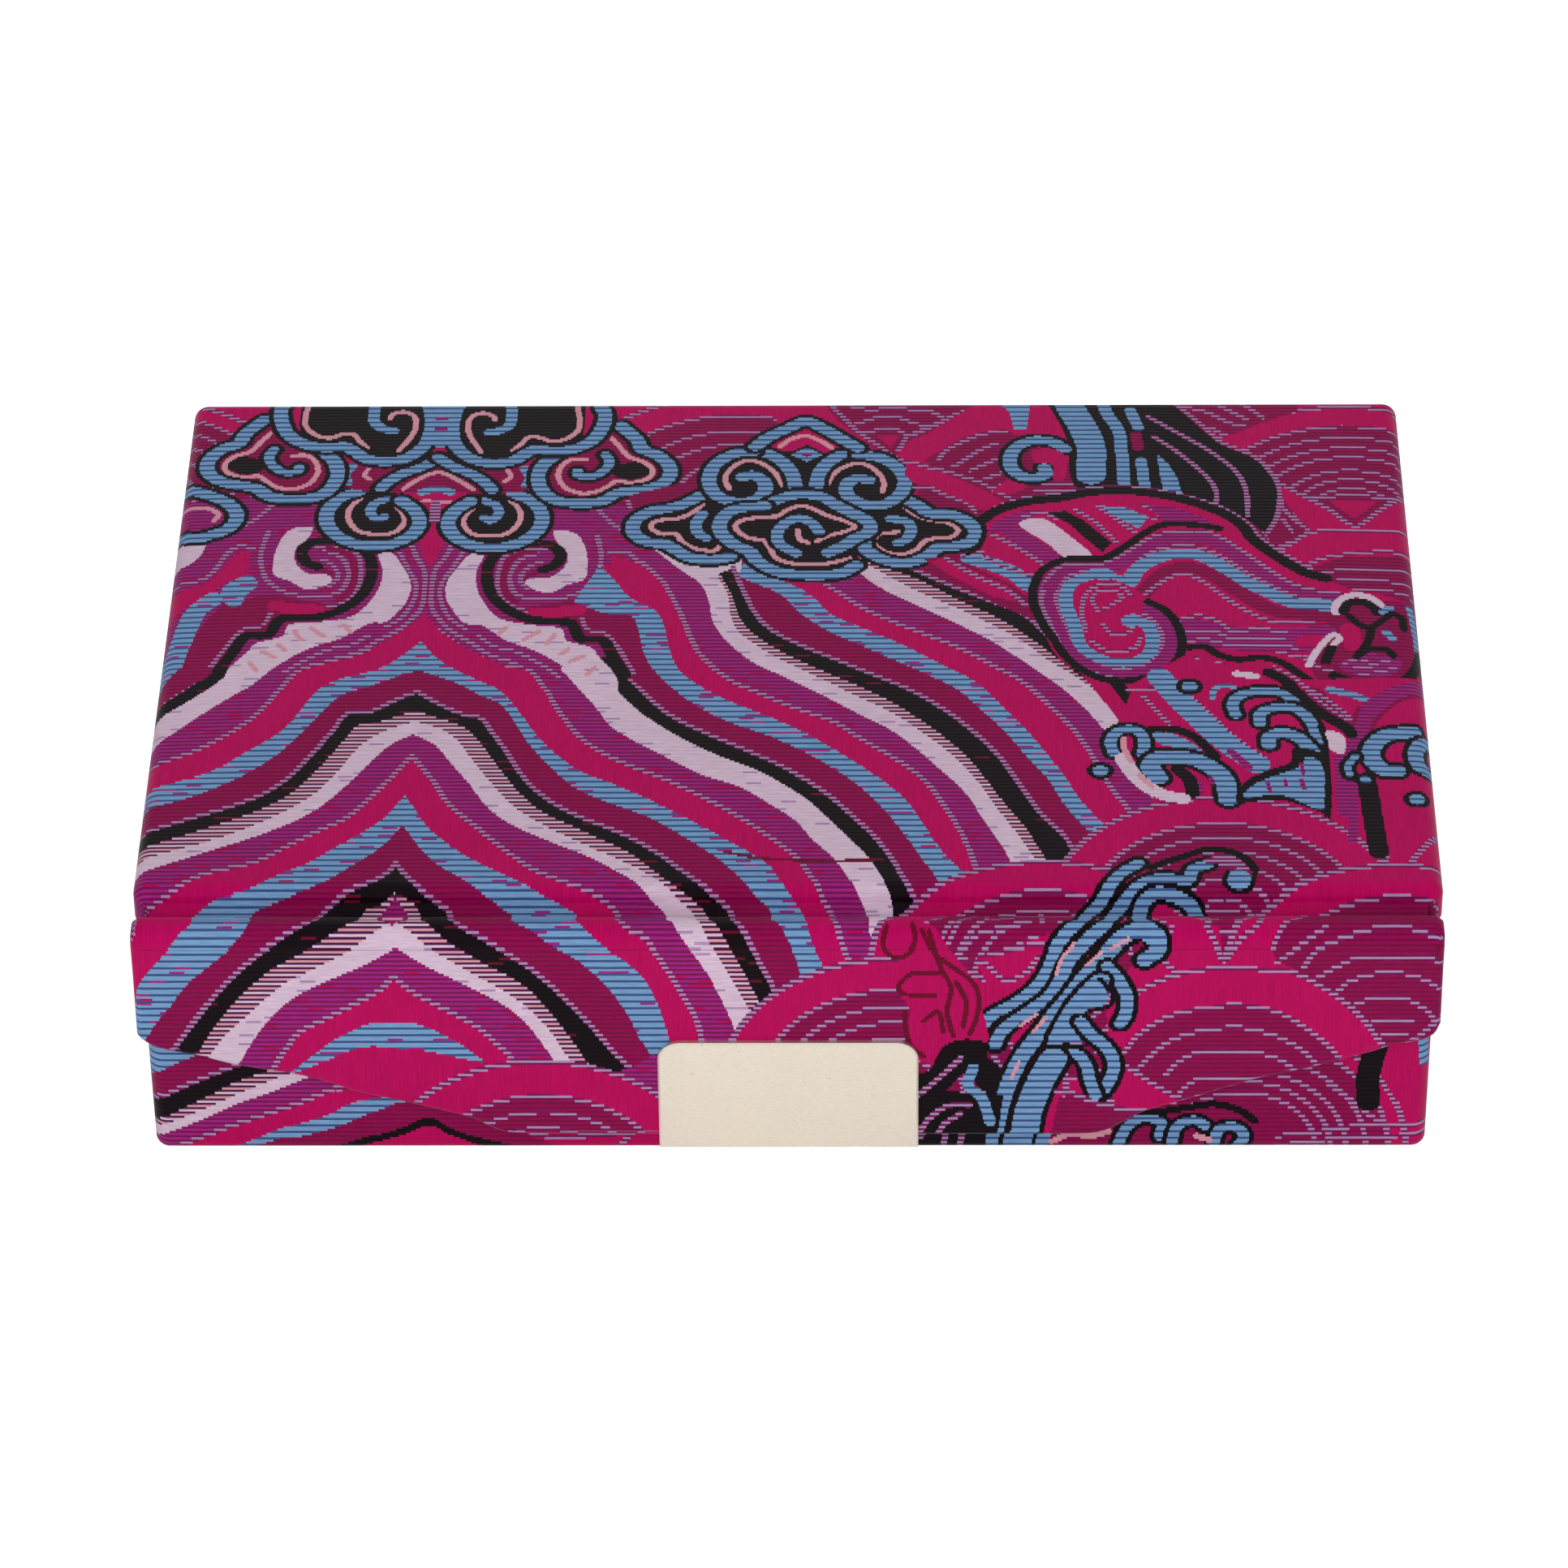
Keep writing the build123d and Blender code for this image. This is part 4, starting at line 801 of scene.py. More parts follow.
# %% Cartoon of the lid and flap: the knot at the right edge
sketch(c, """
cut wine 44.8,29.6 48.5,28.6 64,30 64,40 43,40 42,37
line purple 1.6 41.5,33.4 44,33
line crimson 1.6 45.8,32.6 46,34.8|42,34.4 43,34.2
fill purple 44.9,37 47,35.9 49.4,36.3 49.8,37.5 48.6,38.8 46.4,38.8 44.9,38.2
line lavender .35 45.2,37.2 46.4,36.6 47.4,37.2 48.8,36.7|45.6,38 46.8,37.6 48,38.2 49.3,37.6|46.4,38.6
 47.6,38.4|42,36.4 43,37.8 44,38.2
line white .75 44.8,30.4 44.9,29.3 45.6,28.3 46.6,27.9 47.8,28.3 48.5,29.2
line black .9 45.4,30.2 45.8,29.2 46.8,28.8 47.8,29.4 48.2,30.3
line black .7 45.8,30.8 46.7,32 47.6,32.3 48.8,31 49.4,30.4 50.2,31 50.3,32.4|47.6,32.3 47.3,34 46.6,35.5 46.2,36.3
 47.2,35.3 48.6,35.2 49.2,36.1
line blue .7 48.7,32.8 49.3,33.8|50.9,29.4 51.2,31.6 51.4,35|48.6,30.1 49.3,29.6
line white .6 42.2,37.6 42.8,36 43.6,34.5 44.4,33.4 44.9,33.9 44.4,34.7
line black .9 43.6,37 44.2,35.2
line black 1 44.2,38.9 45.5,39.6 47.5,40.1 49.5,39.6 50.8,38 51.6,35.4
""")
tell("knot", c)

# %% [markdown]
# Below the rock the foam falls over rows of fish scales, and on the flap more foam comes up from
# the front edge. The scales lie like tiles: the lower ones are drawn later, over the upper ones.

# %% Cartoon of the lid and flap: scales and foam
sketch(c, """
cut crimson 28,40 32,36.5 42,39.5 64,38 64,62 45,62 40,54 30,55 26,47
""")
RINGS = np.array([10.6, 8.9, 7.2, 5.5, 3.8, 2.1])
sketch(c, """
line lavender .4 27.4,41 29.6,40.9|28.6,41.8 30.6,45.4|30.8,39 32.2,41.4 34.2,44.6 36.2,47.6 38.3,50
line blue 2.1 30,39.2 31.4,42 33.2,45 35.2,48 37.5,50.6
line purple .7 35.4,48.9 36.8,50.9
line wine 1.6 42.4,41.2 43.6,43.4 45,45
line lavender .4 41.8,40.5 43.4,42 45.4,44.6
line blue .8 43.8,40.8 45.3,41.3 46.8,42.1
line purple 1.7 52,39.8 49.5,40.8 47.8,42.2 46.6,43.8 46,46.4 45.4,49
line wine .4 52,41 49.7,41.8 48.3,43.2 47.2,44.9 46.8,46.4|46,43 45.3,45.6
line purple 1.2 44.2,49.5 44.2,56.5
line black 1.1 38.9,38.6 40.3,39.8 41.5,42 43,44 44.8,45.7 45.2,46.6
line lavender .35 39.4,37.9 41,39.3 42.3,41.5 43.8,43.4 45.2,44.9
""")
for centre in ((34.3, 68.6), (61.6, 68.6)):
    c.scale(centre, SCALE_RADIUS, RINGS)
sketch(c, """
run black 1.6 46.2,53.3 46.3,56 46.6,61.5
run purple .8 45,52.8 44.9,56.5 44.6,60
""")
for centre, rings in (((20.1, 76.5), RINGS), ((47.8, 76.9), [10.5]),
                      ((8.2, 88.4), [10.6, 8.9, 7.3, 5.6, 3.9]), ((-19.6, 98.9), [10.2, 8.5, 6.8])):
    c.scale(centre, SCALE_RADIUS, rings)
sketch(c, """
cut crimson 14.6,74.6 20.4,72.4 24,74 22,80 16.6,79.6
line lavender .42 13.7,70.6 12.5,73.4|13.4,74.7 15.4,75 17,76.8 18.6,76 19.6,74.4|13.6,73.9 15,72.4
 18.4,71.5|15.6,74.3 18,73.5 20,73.2|15.6,69 15.6,71|19.9,68 19.9,71.2
cut crimson 28.6,71.6 33.6,71.6 34.1,75 36.6,71.6 38.3,74.8 41.5,77 45,81 47.6,84 42,92 26,92 25,80 26.6,76
line lavender .42 30,71.8 29.4,74.6 30.4,76|32.7,71.6 33.4,73.2 34.1,74.8 35.2,73 36.9,71.2 36.9,68|38.2,75 40.2,73.2
 42,71.8
fill wine 40.3,75.6 42.4,73 46,71.8 50,72.2 54,74 53,79 51,82 48,83.2 45.6,81 43,78.2
line lavender .42 40.3,75.5 41.3,73.8 43.5,72.7 46,71.9 48,71.8 50.5,72.7 53,73.4|41.3,76.6 43,75.4 44.6,74.5
 47.5,74.6 49.7,74.4 52,75.7|43,78 44,76.9 46,76.1 48,76.1 50,76.9 52,78.6|44.5,79.3 46,78.6 48.3,78.7 50,79.8
 50.8,81|45.7,81.2 47.4,80.9 49,81.1|46.8,82.5 48.6,82.3
line lavender .45 26.8,78.6 28.5,77.2 30.5,76.2 32.5,75.7 35,75.6 38,75.8 40,76.2 43.5,78.9 45.3,81 47.6,84 50.5,81.6
 53,79
fill wine 26.6,84.2 27.5,82.5 29.2,80.9 31.5,79.9 35,79.3 38,79.8 41,82 43.8,85 45,88 38,92 31,89 26.6,85.6
line lavender .42 26.5,84.2 27.5,82.5 29.2,80.9 31,80 33.3,79.6 35,79.3 37.5,79.7 39.3,80.6 41,82 42.5,83.5
 43.8,85.2|27.5,86 29.5,83.5 31.5,82.3 34,81.7 36,81.7 38.5,82.6 40.5,84 42,85.8 43.6,87|29.8,86.5 30.8,85.2 32.5,84.2
 36.5,84.2 38.8,85 40.2,86.3|31,88.3 32,87.2 33.2,86.8 36.5,87 38.5,86.9 41,88.6 44,91|26.5,85.5 28.5,87.2 31,89
 33,88.8 35.5,88 38,89 40,91
cut crimson 43.8,86.6 47.6,84.2 51,84 64,84 64,99 48,99 45.6,95
cut black 46.2,84.7 47.6,84 47.2,86.5 46.8,89.2 45.5,88 45.6,86
ribbon blue .95 36,44.2 35.8,42.8 36.4,41.7 37.8,41.1 39.6,41.2 40.8,42.3
ribbon blue 1 37.9,45.2 38,44 39,43.3 40.4,43.1 41.5,44 42.2,45.6 42.5,47.6
ribbon blue 1.2 38.5,48 38.6,47 39.6,46.5 40.8,47 41.7,48.3 42.2,50 42.2,54
ribbon blue .95 26,49.1 25.8,47.7 26.3,46.5 27.4,46 28.3,46.7 28.5,48 28.3,49.3
line black .9 29.1,46.1 31,46.1 32.7,47.2 34.2,49.6
fill blue 29.2,46.6 30.6,46.6 32,47.5 33.1,48.9 31.5,48.4 29.9,48.1
ribbon blue 1.6 29.5,52.3 28.9,50.9 29.5,49.8 30.9,49.6 32.5,50 34,51.2 34.8,52.7 35,55
line black 1.2 31.1,51.2 32,52.6 32.2,54.2
ribbon blue 1.5 50.2,46.1 48.1,46.6 46.9,48 46.7,49.7 47.5,51.1 48.6,51.2
ribbon blue 1.3 52.5,46.9 50.8,47.6 50.2,49.2 50.7,50.8 52,51.1
ribbon blue .6 45.4,49.4 44.7,50.7 44.8,51.8
fill black 35.7,55.4 36.3,52.9 38.3,51.3 40.1,50.3 40.5,48.4 42.8,49.2 43.3,52 43,57.4 42.3,56.6 39,55
fill blue 36.3,54.8 36.9,53.3 38.8,52 40.9,50.8 41.4,49.6 42.4,50 42.8,52 42.5,56.2 39.2,54.4
line purple .35 41,50.4 41.1,51.6|40.9,52.4 41.1,53.6|38.2,53 38.4,54|39.6,52.6 39.7,53.4|32.8,52.8 32.9,54|33.6,52.2
 33.8,53
line white 1.3 26.7,49.8 27.4,51.6 28.6,53.4 30,54.5 31.4,54.9
line white .8 36.3,38.8 37.8,39.1
line peach .5 26.9,47.3 26.9,48.6 27.4,50.3|28,52 29,53.4
line blue .5 34.2,42 34.4,40.9 35.2,40.3 36,40.6
fill white 43.2,46.2 44.6,46.8 44.5,49 43.4,48.5
line black .4 42.7,45.6 43.1,48 43,52 42.7,57
""")
# drops of spray: a dark rim round blue
for u, v, r in ((24.9, 51.4, 0.8), (32.4, 40.5, 0.8), (46, 52.4, 0.6), (50, 54.8, 0.8)):
    spot = np.array([[u, v], [u + 0.01, v]])
    c.line(spot, 2 * r + 0.6, BLACK)
    c.line(spot, 2 * r - 0.3, BLUE)

# the foam that crosses the fold and runs down the flap
sketch(c, """
ribbon blue 1 27.6,62.9 26.3,64 25.3,65.5 24.5,67 23.5,68.3 23.3,69.6 23,71 21.9,72.2 21,73.5 20.6,74.9 20,76.5 19,78
 17.5,79.3 16,80.4 15.2,81.6 14.8,82.5
ribbon blue 1.05 33,63 31.9,63.6 31.4,64.9 29.8,64.6 28.4,64.9 27.2,65.9 26.2,67.2 25.5,68.6 25.3,70.2 24.9,71.4
 23.8,72.5 22.7,73.7 21.9,75.1 21.3,76.8 20.5,78.4 19.2,79.7 17.7,81 16.7,82.2 16.3,83.4
ribbon blue 1.1 32.1,68.6 31.7,67.2 30.5,66.4 29,66.1 28,66.8 27.6,68.2 27.5,70.2 27.7,72
ribbon blue 1.3 27.9,74.7 28.9,73.7 28.7,72.4 27.2,72.1 25.8,73 24.8,74.3 23.7,75.8 22.8,77.2 22,78.6 21,80.1
 20.2,81.6 19.3,83 18.5,84.5 17.8,86.2 17.2,88.2 16.8,90 16.2,94 15.8,99
cut blue 27,70.8 28.1,70.8 29,72 28.6,73.6 27.2,72.6
ribbon blue 1 25,75.4 26,76.9 26.6,78.6 26.5,80.3 26.1,81.2
ribbon blue 1.4 24.5,76.8 23.5,78 22.5,79.6 21.8,81.2 21.2,82.7
cut blue 24.5,77 25.2,78.3 24.9,79.3 23.6,79.7 23,80.4 23.2,83.2 20.4,83.3 22,80.5
line black .4 24.4,76.6 25.5,78.2 25.2,79.4 23.7,79.9|20.2,83.7 23.4,83.5
ribbon blue 1 23,81 23.8,82.3 25,83.6 25.6,84.9 25.6,86.4 25,88 24.3,88.9
ribbon blue .95 21,84.6 22.7,84.4 23.5,85.5 23.8,87 24.3,88.7
ribbon blue 2.2 20.9,84.9 19.9,87.3 19.2,89.6 18.8,92 18.2,99
line peach .3 22.4,73.2 21.5,74.4 21,76.2|24.6,73.8 23.3,75.3|26.6,72.8 25.2,73.7|19.6,80.2 18.2,81.5|20.3,80.6
 19.3,82|18.2,85.2 17.6,87
line lavender .8 33.2,62.6 34.8,62.3 35.7,63.3
fill blue 35.5,63.6 36.4,64.3 36.2,65.5 35.2,65.8 34.4,65.2 34.7,64.1
line black .4 34.6,63.9 34.3,65.2 35.2,66 36.3,65.7 36.7,64.3
line black .7 28.6,63.4 30,62.6 31.5,61.9 33,61.2 34.5,61.3 36,62.2 36.8,63.7
line lavender .5 33,67.8 35.3,67.8
cut wine 21.4,89 23,88.4 25,89.6 29,90.4 30,99 19.8,99
line lavender .45 21.2,88.2 22.5,88.5 24,89.3 26,90 27.5,90.3 29.5,90.5
""")
# the knot of leaves beside the clasp
sketch(c, """
fill crimson 8.5,71.6 7.6,73.4 8.6,74.6 9.3,76.6 8.8,78 9.6,80 9.2,82 9.8,84.6 12,85.4 15.6,83.6 15.2,79.4 14.5,76.6
 12.5,73.4 11,71.4
line fleck .42 7.8,71.7 7.5,73.4 8.5,74.5 9.5,74 10,72.8 9.8,71.5|12,76 10,76 9,76.8 8.7,77.6 9.3,78.2
 11.5,78.3|9.2,80 9.3,82 9.7,83.6 10.7,84.6|10.5,72 11.5,74 13,75.5 14.5,77 15,78.8 14.8,80.7 14.3,82.3|11.1,72.2
 12,75.5 12.8,77.5 12.5,80 13,82.5|13.2,77 14,79 13.8,81.5|10.6,81 11.8,80 12.2,82
fill black 12.2,83.6 14,82.8 15.9,83.4 15.7,84.6 16.8,86 16.2,88.5 15,87.8 14,86.3 12.3,88.3 9,91.3 9,86.6 11,86.2
cut black 9,88 17,88.6 16,99 8,99
line lavender .5 9.6,89.3 11.6,87.2 13.6,84.8|9.8,94 11,91.3 12.6,89.8 14.4,89.7|11.6,94.3 12.2,91.9 13.6,90.6
line blue .9 14.6,85.8 14.2,87.6 15.3,89 16,91.5
fill crimson 10.6,83.2 11.4,82.7 11.8,83.5 11,84.1
""")
# one weaver's slip: a dark weft that shows for a short way
sketch(c, """
line fleck .3 -5,61.4 -3,62 0,62.4 4,62.5 7.5,62.4
""")
# the photograph doesn't show what lies behind the back edge: there the same figure is turned over
turn = int(np.searchsorted(c.v, -0.6))
c.yarn[:turn] = c.yarn[turn:2 * turn][::-1]
tell("whole lid", c)
lid_cartoon.finish()
print("lid cartoon", lid_cartoon.woven.shape)

# %% [markdown]
# The walls of the tray are one long band of the same silk. Its front follows the photograph,
# and the sides and the back go on in rows of scales with a fall of water at each back corner.

# %% Cartoon of the tray
TRAY_W, TRAY_D, TRAY_H = 102.0, 68.7, 21.4
wall_cartoon = c = Cartoon(-172, 172, -8, 28)
scales(c, -172, 172, -8, 28)
# the front was drawn on a wall 15 mm high, and hangs lower by the rest of the wall's height
DROP = TRAY_H - 15
front = [flow(points(row) + [0, DROP]) for row in rows("""
-56,3 -50.8,2.6 -47.5,2 -44,1
-56,10 -51,7.2 -48.2,5.5 -45,4
-56,12 -50.5,9.7 -48,8.3 -45.5,7 -43.5,6.1 -41,5.2
-56,14 -50.3,11.6 -48,10.2 -46,9 -44,7.7 -40,6
-56,15 -50,12.2 -47,10.7 -44,9 -41.5,7.7 -38,6
-56,16 -50,13.2 -47,11.7 -44,10 -41.5,8.9 -37,6.6
-56,18 -48,14 -45,12.5 -42,11.2 -39,9.9 -37,8.8 -33,7
-52,19 -42,13.3 -39.5,12.3 -37,11.3 -35.5,10.3 -34,9.7 -31,9.2 -28,9.4
-50,19 -42,14.2 -39,13.5 -36,12.4 -34,11.3 -32.3,10.5 -31,9.9 -28,9.8
-46,19 -35,14 -33,13.4 -31,12.6 -28.9,11.5 -27.5,12.5 -26,13.3 -24,14 -14,17
-46,21 -35,15 -33,14.1 -31,13.4 -28.9,12.4 -27.5,13.3 -26,14 -24,15 -14,19
""")]


def ridge(curve, crest, middle=-28.9):
    """The edge of a band, carried on up to a crest under the flap and down again on its other side."""
    half = np.concatenate([curve, [[middle, crest]]])
    return np.concatenate([half, (half[::-1] * [-1, 1] + [2 * middle, 0])[1:]])


hidden = [ridge(curve, crest) for curve, crest in zip(front, (-1.5, 2, 5, 6.2, 7, 8.6, 11.4))]
FALLS = [BLUE, WINE, BLACK, TEETH, WHITE, PURPLE, CRIMSON]
c.stripes([*hidden, points("-60,29 0,29")], FALLS)
c.scale((-1, 21), SCALE_RADIUS, RINGS)
sketch(c, """
cut crimson -58,7 -50,7.6 -45.2,10.1 -41,11.3 -40,12.1 -38,12.1 -37,12.7 -33,13.1 -31,14 -25,16.6 -21,17.3 22,17.3
 26,15.2 37,11.6 46,8.6 50,7 58,6.6 58,29 -58,29
""")
c.stripes(front, [*FALLS, BLUE, WINE, BLACK])
c.line(front[6], THIN, LAVENDER)
c.line(front[2] + [0, -0.3], THIN, LAVENDER)
sketch(c, """
line lavender .5 -36,8.6 -34.5,8 -31,8.1 -29.5,8.3 -28,9 -26.5,9.8 -24.5,11 -23,12 -21,13 -19,13.6 -14,13.3 -10,12.4
""", drop=DROP)
c.scale((-2, 22 + DROP), SCALE_RADIUS, [10.4, 8.7, 7])
c.scale((36, 15.2 + DROP), 13.4, [12.0, 10.2, 8.6, 7.4, 6.2])
sketch(c, """
cut crimson 44.6,2.4 48,1.6 58,1 58,14.5 48.5,10
line lavender .45 43,8.2 44.2,9.2 45.2,10.2 46.5,11.5 47.8,12.6
line black 1.9 46.8,3 46.1,7 46.2,10
line blue 1 50.4,3.6 50.6,5.8
line lavender .45 39,13.6 42,13.2 45,12.6 48,12.6 52,12.2|39,14.6 42,14.2 45,13.6 48,13.6 52,13.2
fill black 9.4,8 10.2,4.6 12.4,2.4 15,1.6 17,3.6 17.5,9 16.6,24 9,24
line lavender .5 10.2,9.6 12,7.2 14,5.3|10.5,13.6 11.5,11 13,10 14.5,10|12.3,14.6 12.8,12 14,10.5|13.6,15 14,12.4
 15,11.4
stem blue .9 14.6,6 14.4,7.4 15.4,8.6 15.9,11 15.7,15
stem blue 1.3 21,-16 20.3,-8 19.4,-1 18,5 16.9,9 16.5,12 16.2,17
stem blue 2.3 25.4,-16 24.2,-8 22.6,0 20.2,6 19.2,9 18.5,12 18,17
cut wine 20.4,9.6 24,9.4 28,10 36.5,10.4 37.4,17 19.6,17
line blue 1 20,15 20.6,12.9 21.6,11.7 23,12.3 24.4,11.8 25.4,12.2
line peach .6 21,14.2 22.5,13.3 24,13.6 25.5,13.1
stem blue .9 26.3,14.6 27,12.6 28.4,11.6 29.8,12.3 29.6,13.6|30.6,14.4 31,12.6 32.3,11.9 33.4,12.6|34,14.4 34.4,12.9
 35.6,12.6 36.4,13.6 35.8,14.8
line black .7 27.6,10.9 29.5,11 32,10.5 34,10.2 36,10.9 37.2,12
line peach .6 32.6,13.6 33.6,14
line lavender .45 22,9.3 24,9.9 26,10.2 28.5,10 31,9.4 33,8.9
""", drop=DROP)
# water at the back corners, where the bands fall side by side
fall = flow(points("0,-10 3,-3 5,4 10,11 16,18 26,29"))
FALL_STARTS, FALL_STEP, FALL_WIDTH = 96, 2.3, 2.4
for side in (-1, 1):
    for k, yarn in enumerate((BLUE, CRIMSON, PURPLE, WHITE, BLACK, WINE) * 2):
        c.line(fall * [side, 1] + [side * (FALL_STARTS + FALL_STEP * k), 0], FALL_WIDTH, yarn)
wall_cartoon.finish()
print("wall cartoon", wall_cartoon.woven.shape)

# %% [markdown]
# The cloth is a real mesh of its yarns. Each weft is a row of thin faces that changes yarn where
# the cartoon does, so the figure is as sharp as the weaving at any distance.
# The other side of the cloth is coarse, and both sides meet along the cut edges, so that every
# piece is closed. Two neighbouring rows share their points, and a ladder of triangles
# joins two rows of points by always stepping on to whichever next point is nearer.

# %% Weaving a mesh
# the cloth's thickness, and the longest step along a weft on its face and on its other side, where
# only each tenth row is kept
CLOTH, FINE_STEP, COARSE_STEP, COARSE_ROWS = 0.4, 2.0, 2.4, 10
# the least distance of a point from its line's end, on the face and on the other side
FINE_END, COARSE_END = 0.04, 0.3
# the bake's map, as heights of a panel's band: a strip for each cut edge, the other side, the face
EDGE_STRIP, EDGE_HIGH, BACK_FROM, BACK_HIGH, FACE_FROM, FACE_HIGH = 0.011, 0.006, 0.05, 0.05, 0.11, 0.88
SHARP = math.radians(50)


def ladder(a, b):
    """Triangles between two chains of points in order: steps along a give (i, i + 1, j), and steps
    along b give (j, j + 1, i), where i and j are places in a and b."""
    i, j = np.arange(len(a) - 1), np.arange(len(b) - 1)
    return (np.stack([i, i + 1, np.searchsorted(b[1:], a[1:], "left")], 1),
            np.stack([j, j + 1, np.searchsorted(a[1:], b[1:], "right")], 1))


def way_along(track):
    """The way along a chain of points to each of them."""
    return np.concatenate([[0], np.cumsum(np.linalg.norm(np.diff(track, axis=0), axis=1))])


def on(track, way, w):
    """The two coordinates at a way w along a chain of points."""
    return np.interp(w, way, track[:, 0]), np.interp(w, way, track[:, 1])


def even(lines, first, last):
    """The same ends on every line."""
    return np.tile([first, last], (len(lines), 1))


class Cloth:
    """Collects the points and faces of one piece, from one or more woven panels. Its panels share
    the bake's map, each in its own band."""

    def __init__(self, panels=1):
        self.points, self.faces, self.yarns, self.cloth, self.bake = [], [], [], [], []
        self.count, self.done, self.panels, self.flat = 0, 0, panels, 0.0

    def panel(self, place, lines, ends, yarns_at, bends=(), cloth_at=None, thickness=CLOTH, reverse=REVERSE):
        """Weave a panel. place(u, v) gives points in millimetres, lines are the places v of the
        weft's edges, ends the first and last u on each line, and yarns_at(u, v) the yarn.
        bends are places u that every line needs, for a round corner."""
        u0, u1 = np.min(ends[:, 0]), np.max(ends[:, 1])
        us = np.arange(u0, u1, STEP) + STEP / 2
        fine, wide = (np.unique(np.round(np.concatenate([np.arange(u0, u1, step), bends]), 3))
                      for step in (FINE_STEP, COARSE_STEP))
        codes = [yarns_at(us, np.full(len(us), v)) for v in (lines[:-1] + lines[1:]) / 2]
        breaks = [[], *(us[np.flatnonzero(np.diff(row))] + STEP / 2 for row in codes), []]

        def chain(places, end, margin):
            inner = places[(places > end[0] + margin) & (places < end[1] - margin)]
            return np.concatenate([end[:1], inner, end[1:]])

        chains = [chain(np.unique(np.round(np.concatenate([breaks[k], breaks[k + 1], fine]), 3)), end, FINE_END)
                  for k, end in enumerate(ends)]
        rows = np.unique(np.r_[0:len(lines):COARSE_ROWS, len(lines) - 1])
        backs = [chain(wide, ends[k], COARSE_END) for k in rows]
        outer = np.concatenate([np.stack([x, 0 * x + v], 1) for x, v in zip(chains, lines)])
        inner = np.concatenate([np.stack([x, 0 * x + v], 1) for x, v in zip(backs, lines[rows])])
        both_sides = np.concatenate([outer, inner])
        base = self.count
        start = base + np.concatenate([[0], np.cumsum([len(x) for x in chains + backs])])
        self.points += [place(*outer.T), place(*inner.T) - thickness * self.normals(place, *inner.T)]
        self.count += len(both_sides)
        unit = (both_sides - [u0, lines[0]]) / [u1 - u0, lines[-1] - lines[0]]

        def keep(triangles, yarns, at):
            """Store faces with their yarns, their places on the flat cloth and on the bake's map."""
            self.faces.append(triangles)
            self.yarns.append(np.broadcast_to(yarns, len(triangles)))
            self.bake.append((at + [0, self.done]) / [1, self.panels])
            uv = both_sides[triangles - base]
            self.cloth.append(cloth_at(uv[..., 0], uv[..., 1]) if cloth_at else uv)

        for k in range(len(lines) - 1):
            up, down = ladder(chains[k], chains[k + 1])
            for steps, here, there in ((up, k, k + 1), (down, k + 1, k)):
                triangles = steps + start[[here, here, there]]
                if here > there:
                    triangles = triangles[:, [1, 0, 2]]
                middle = (chains[here][steps[:, 0]] + chains[here][steps[:, 1]]) / 2
                at = np.clip(((middle - u0) / STEP).astype(int), 0, len(us) - 1)
                keep(triangles, codes[k][at], unit[triangles - base] * [1, FACE_HIGH] + [0, FACE_FROM])
        outside = np.concatenate(self.cloth[-2 * (len(lines) - 1):])
        first = len(lines)
        for k in range(len(rows) - 1):
            up, down = ladder(backs[k], backs[k + 1])
            a, b = start[first + k], start[first + k + 1]
            for triangles in ((up + [a, a, b])[:, [1, 0, 2]], down + [b, b, a]):
                keep(triangles, reverse, unit[triangles - base] * [1, BACK_HIGH] + [0, BACK_FROM])
        # the four cut edges: the first line, the last line, and the two ends of every line
        ids = [np.arange(a, b) for a, b in zip(start[:-1], start[1:])]
        edges = ((chains[0], ids[0], backs[0], ids[first], True),
                 (chains[-1], ids[first - 1], backs[-1], ids[-1], False),
                 (lines, start[:first], lines[rows], start[first:-1], False),
                 (lines, start[1:first + 1] - 1, lines[rows], start[first + 1:] - 1, True))
        for n, (a, at_a, b, at_b, forward) in enumerate(edges):
            along, back = ladder(a, b)
            triangles = np.concatenate([
                np.stack([at_a[along[:, 1]], at_a[along[:, 0]], at_b[along[:, 2]]], 1),
                np.stack([at_b[back[:, 0]], at_b[back[:, 1]], at_a[back[:, 2]]], 1)])
            if not forward:
                triangles = triangles[:, [1, 0, 2]]
            spot = np.zeros((len(both_sides), 2))
            for places, at, high in ((a, at_a, 0), (b, at_b, EDGE_HIGH)):
                share = (places - places[0]) / (places[-1] - places[0])
                spot[at - base] = np.stack([share, 0 * places + EDGE_STRIP * n + high], 1)
            keep(triangles, reverse, spot[triangles - base])
        p, q = outside[:, 1] - outside[:, 0], outside[:, 2] - outside[:, 0]
        self.flat += np.abs(p[:, 0] * q[:, 1] - p[:, 1] * q[:, 0]).sum() / 2
        self.done += 1

    def normals(self, place, u, v, step=0.02):
        """Outward directions, from the slopes of the surface along u and along v."""
        along = place(u + step, v) - place(u - step, v)
        down = place(u, v + step) - place(u, v - step)
        n = np.cross(down, along)
        return n / np.maximum(np.linalg.norm(n, axis=1), 1e-9)[:, None]

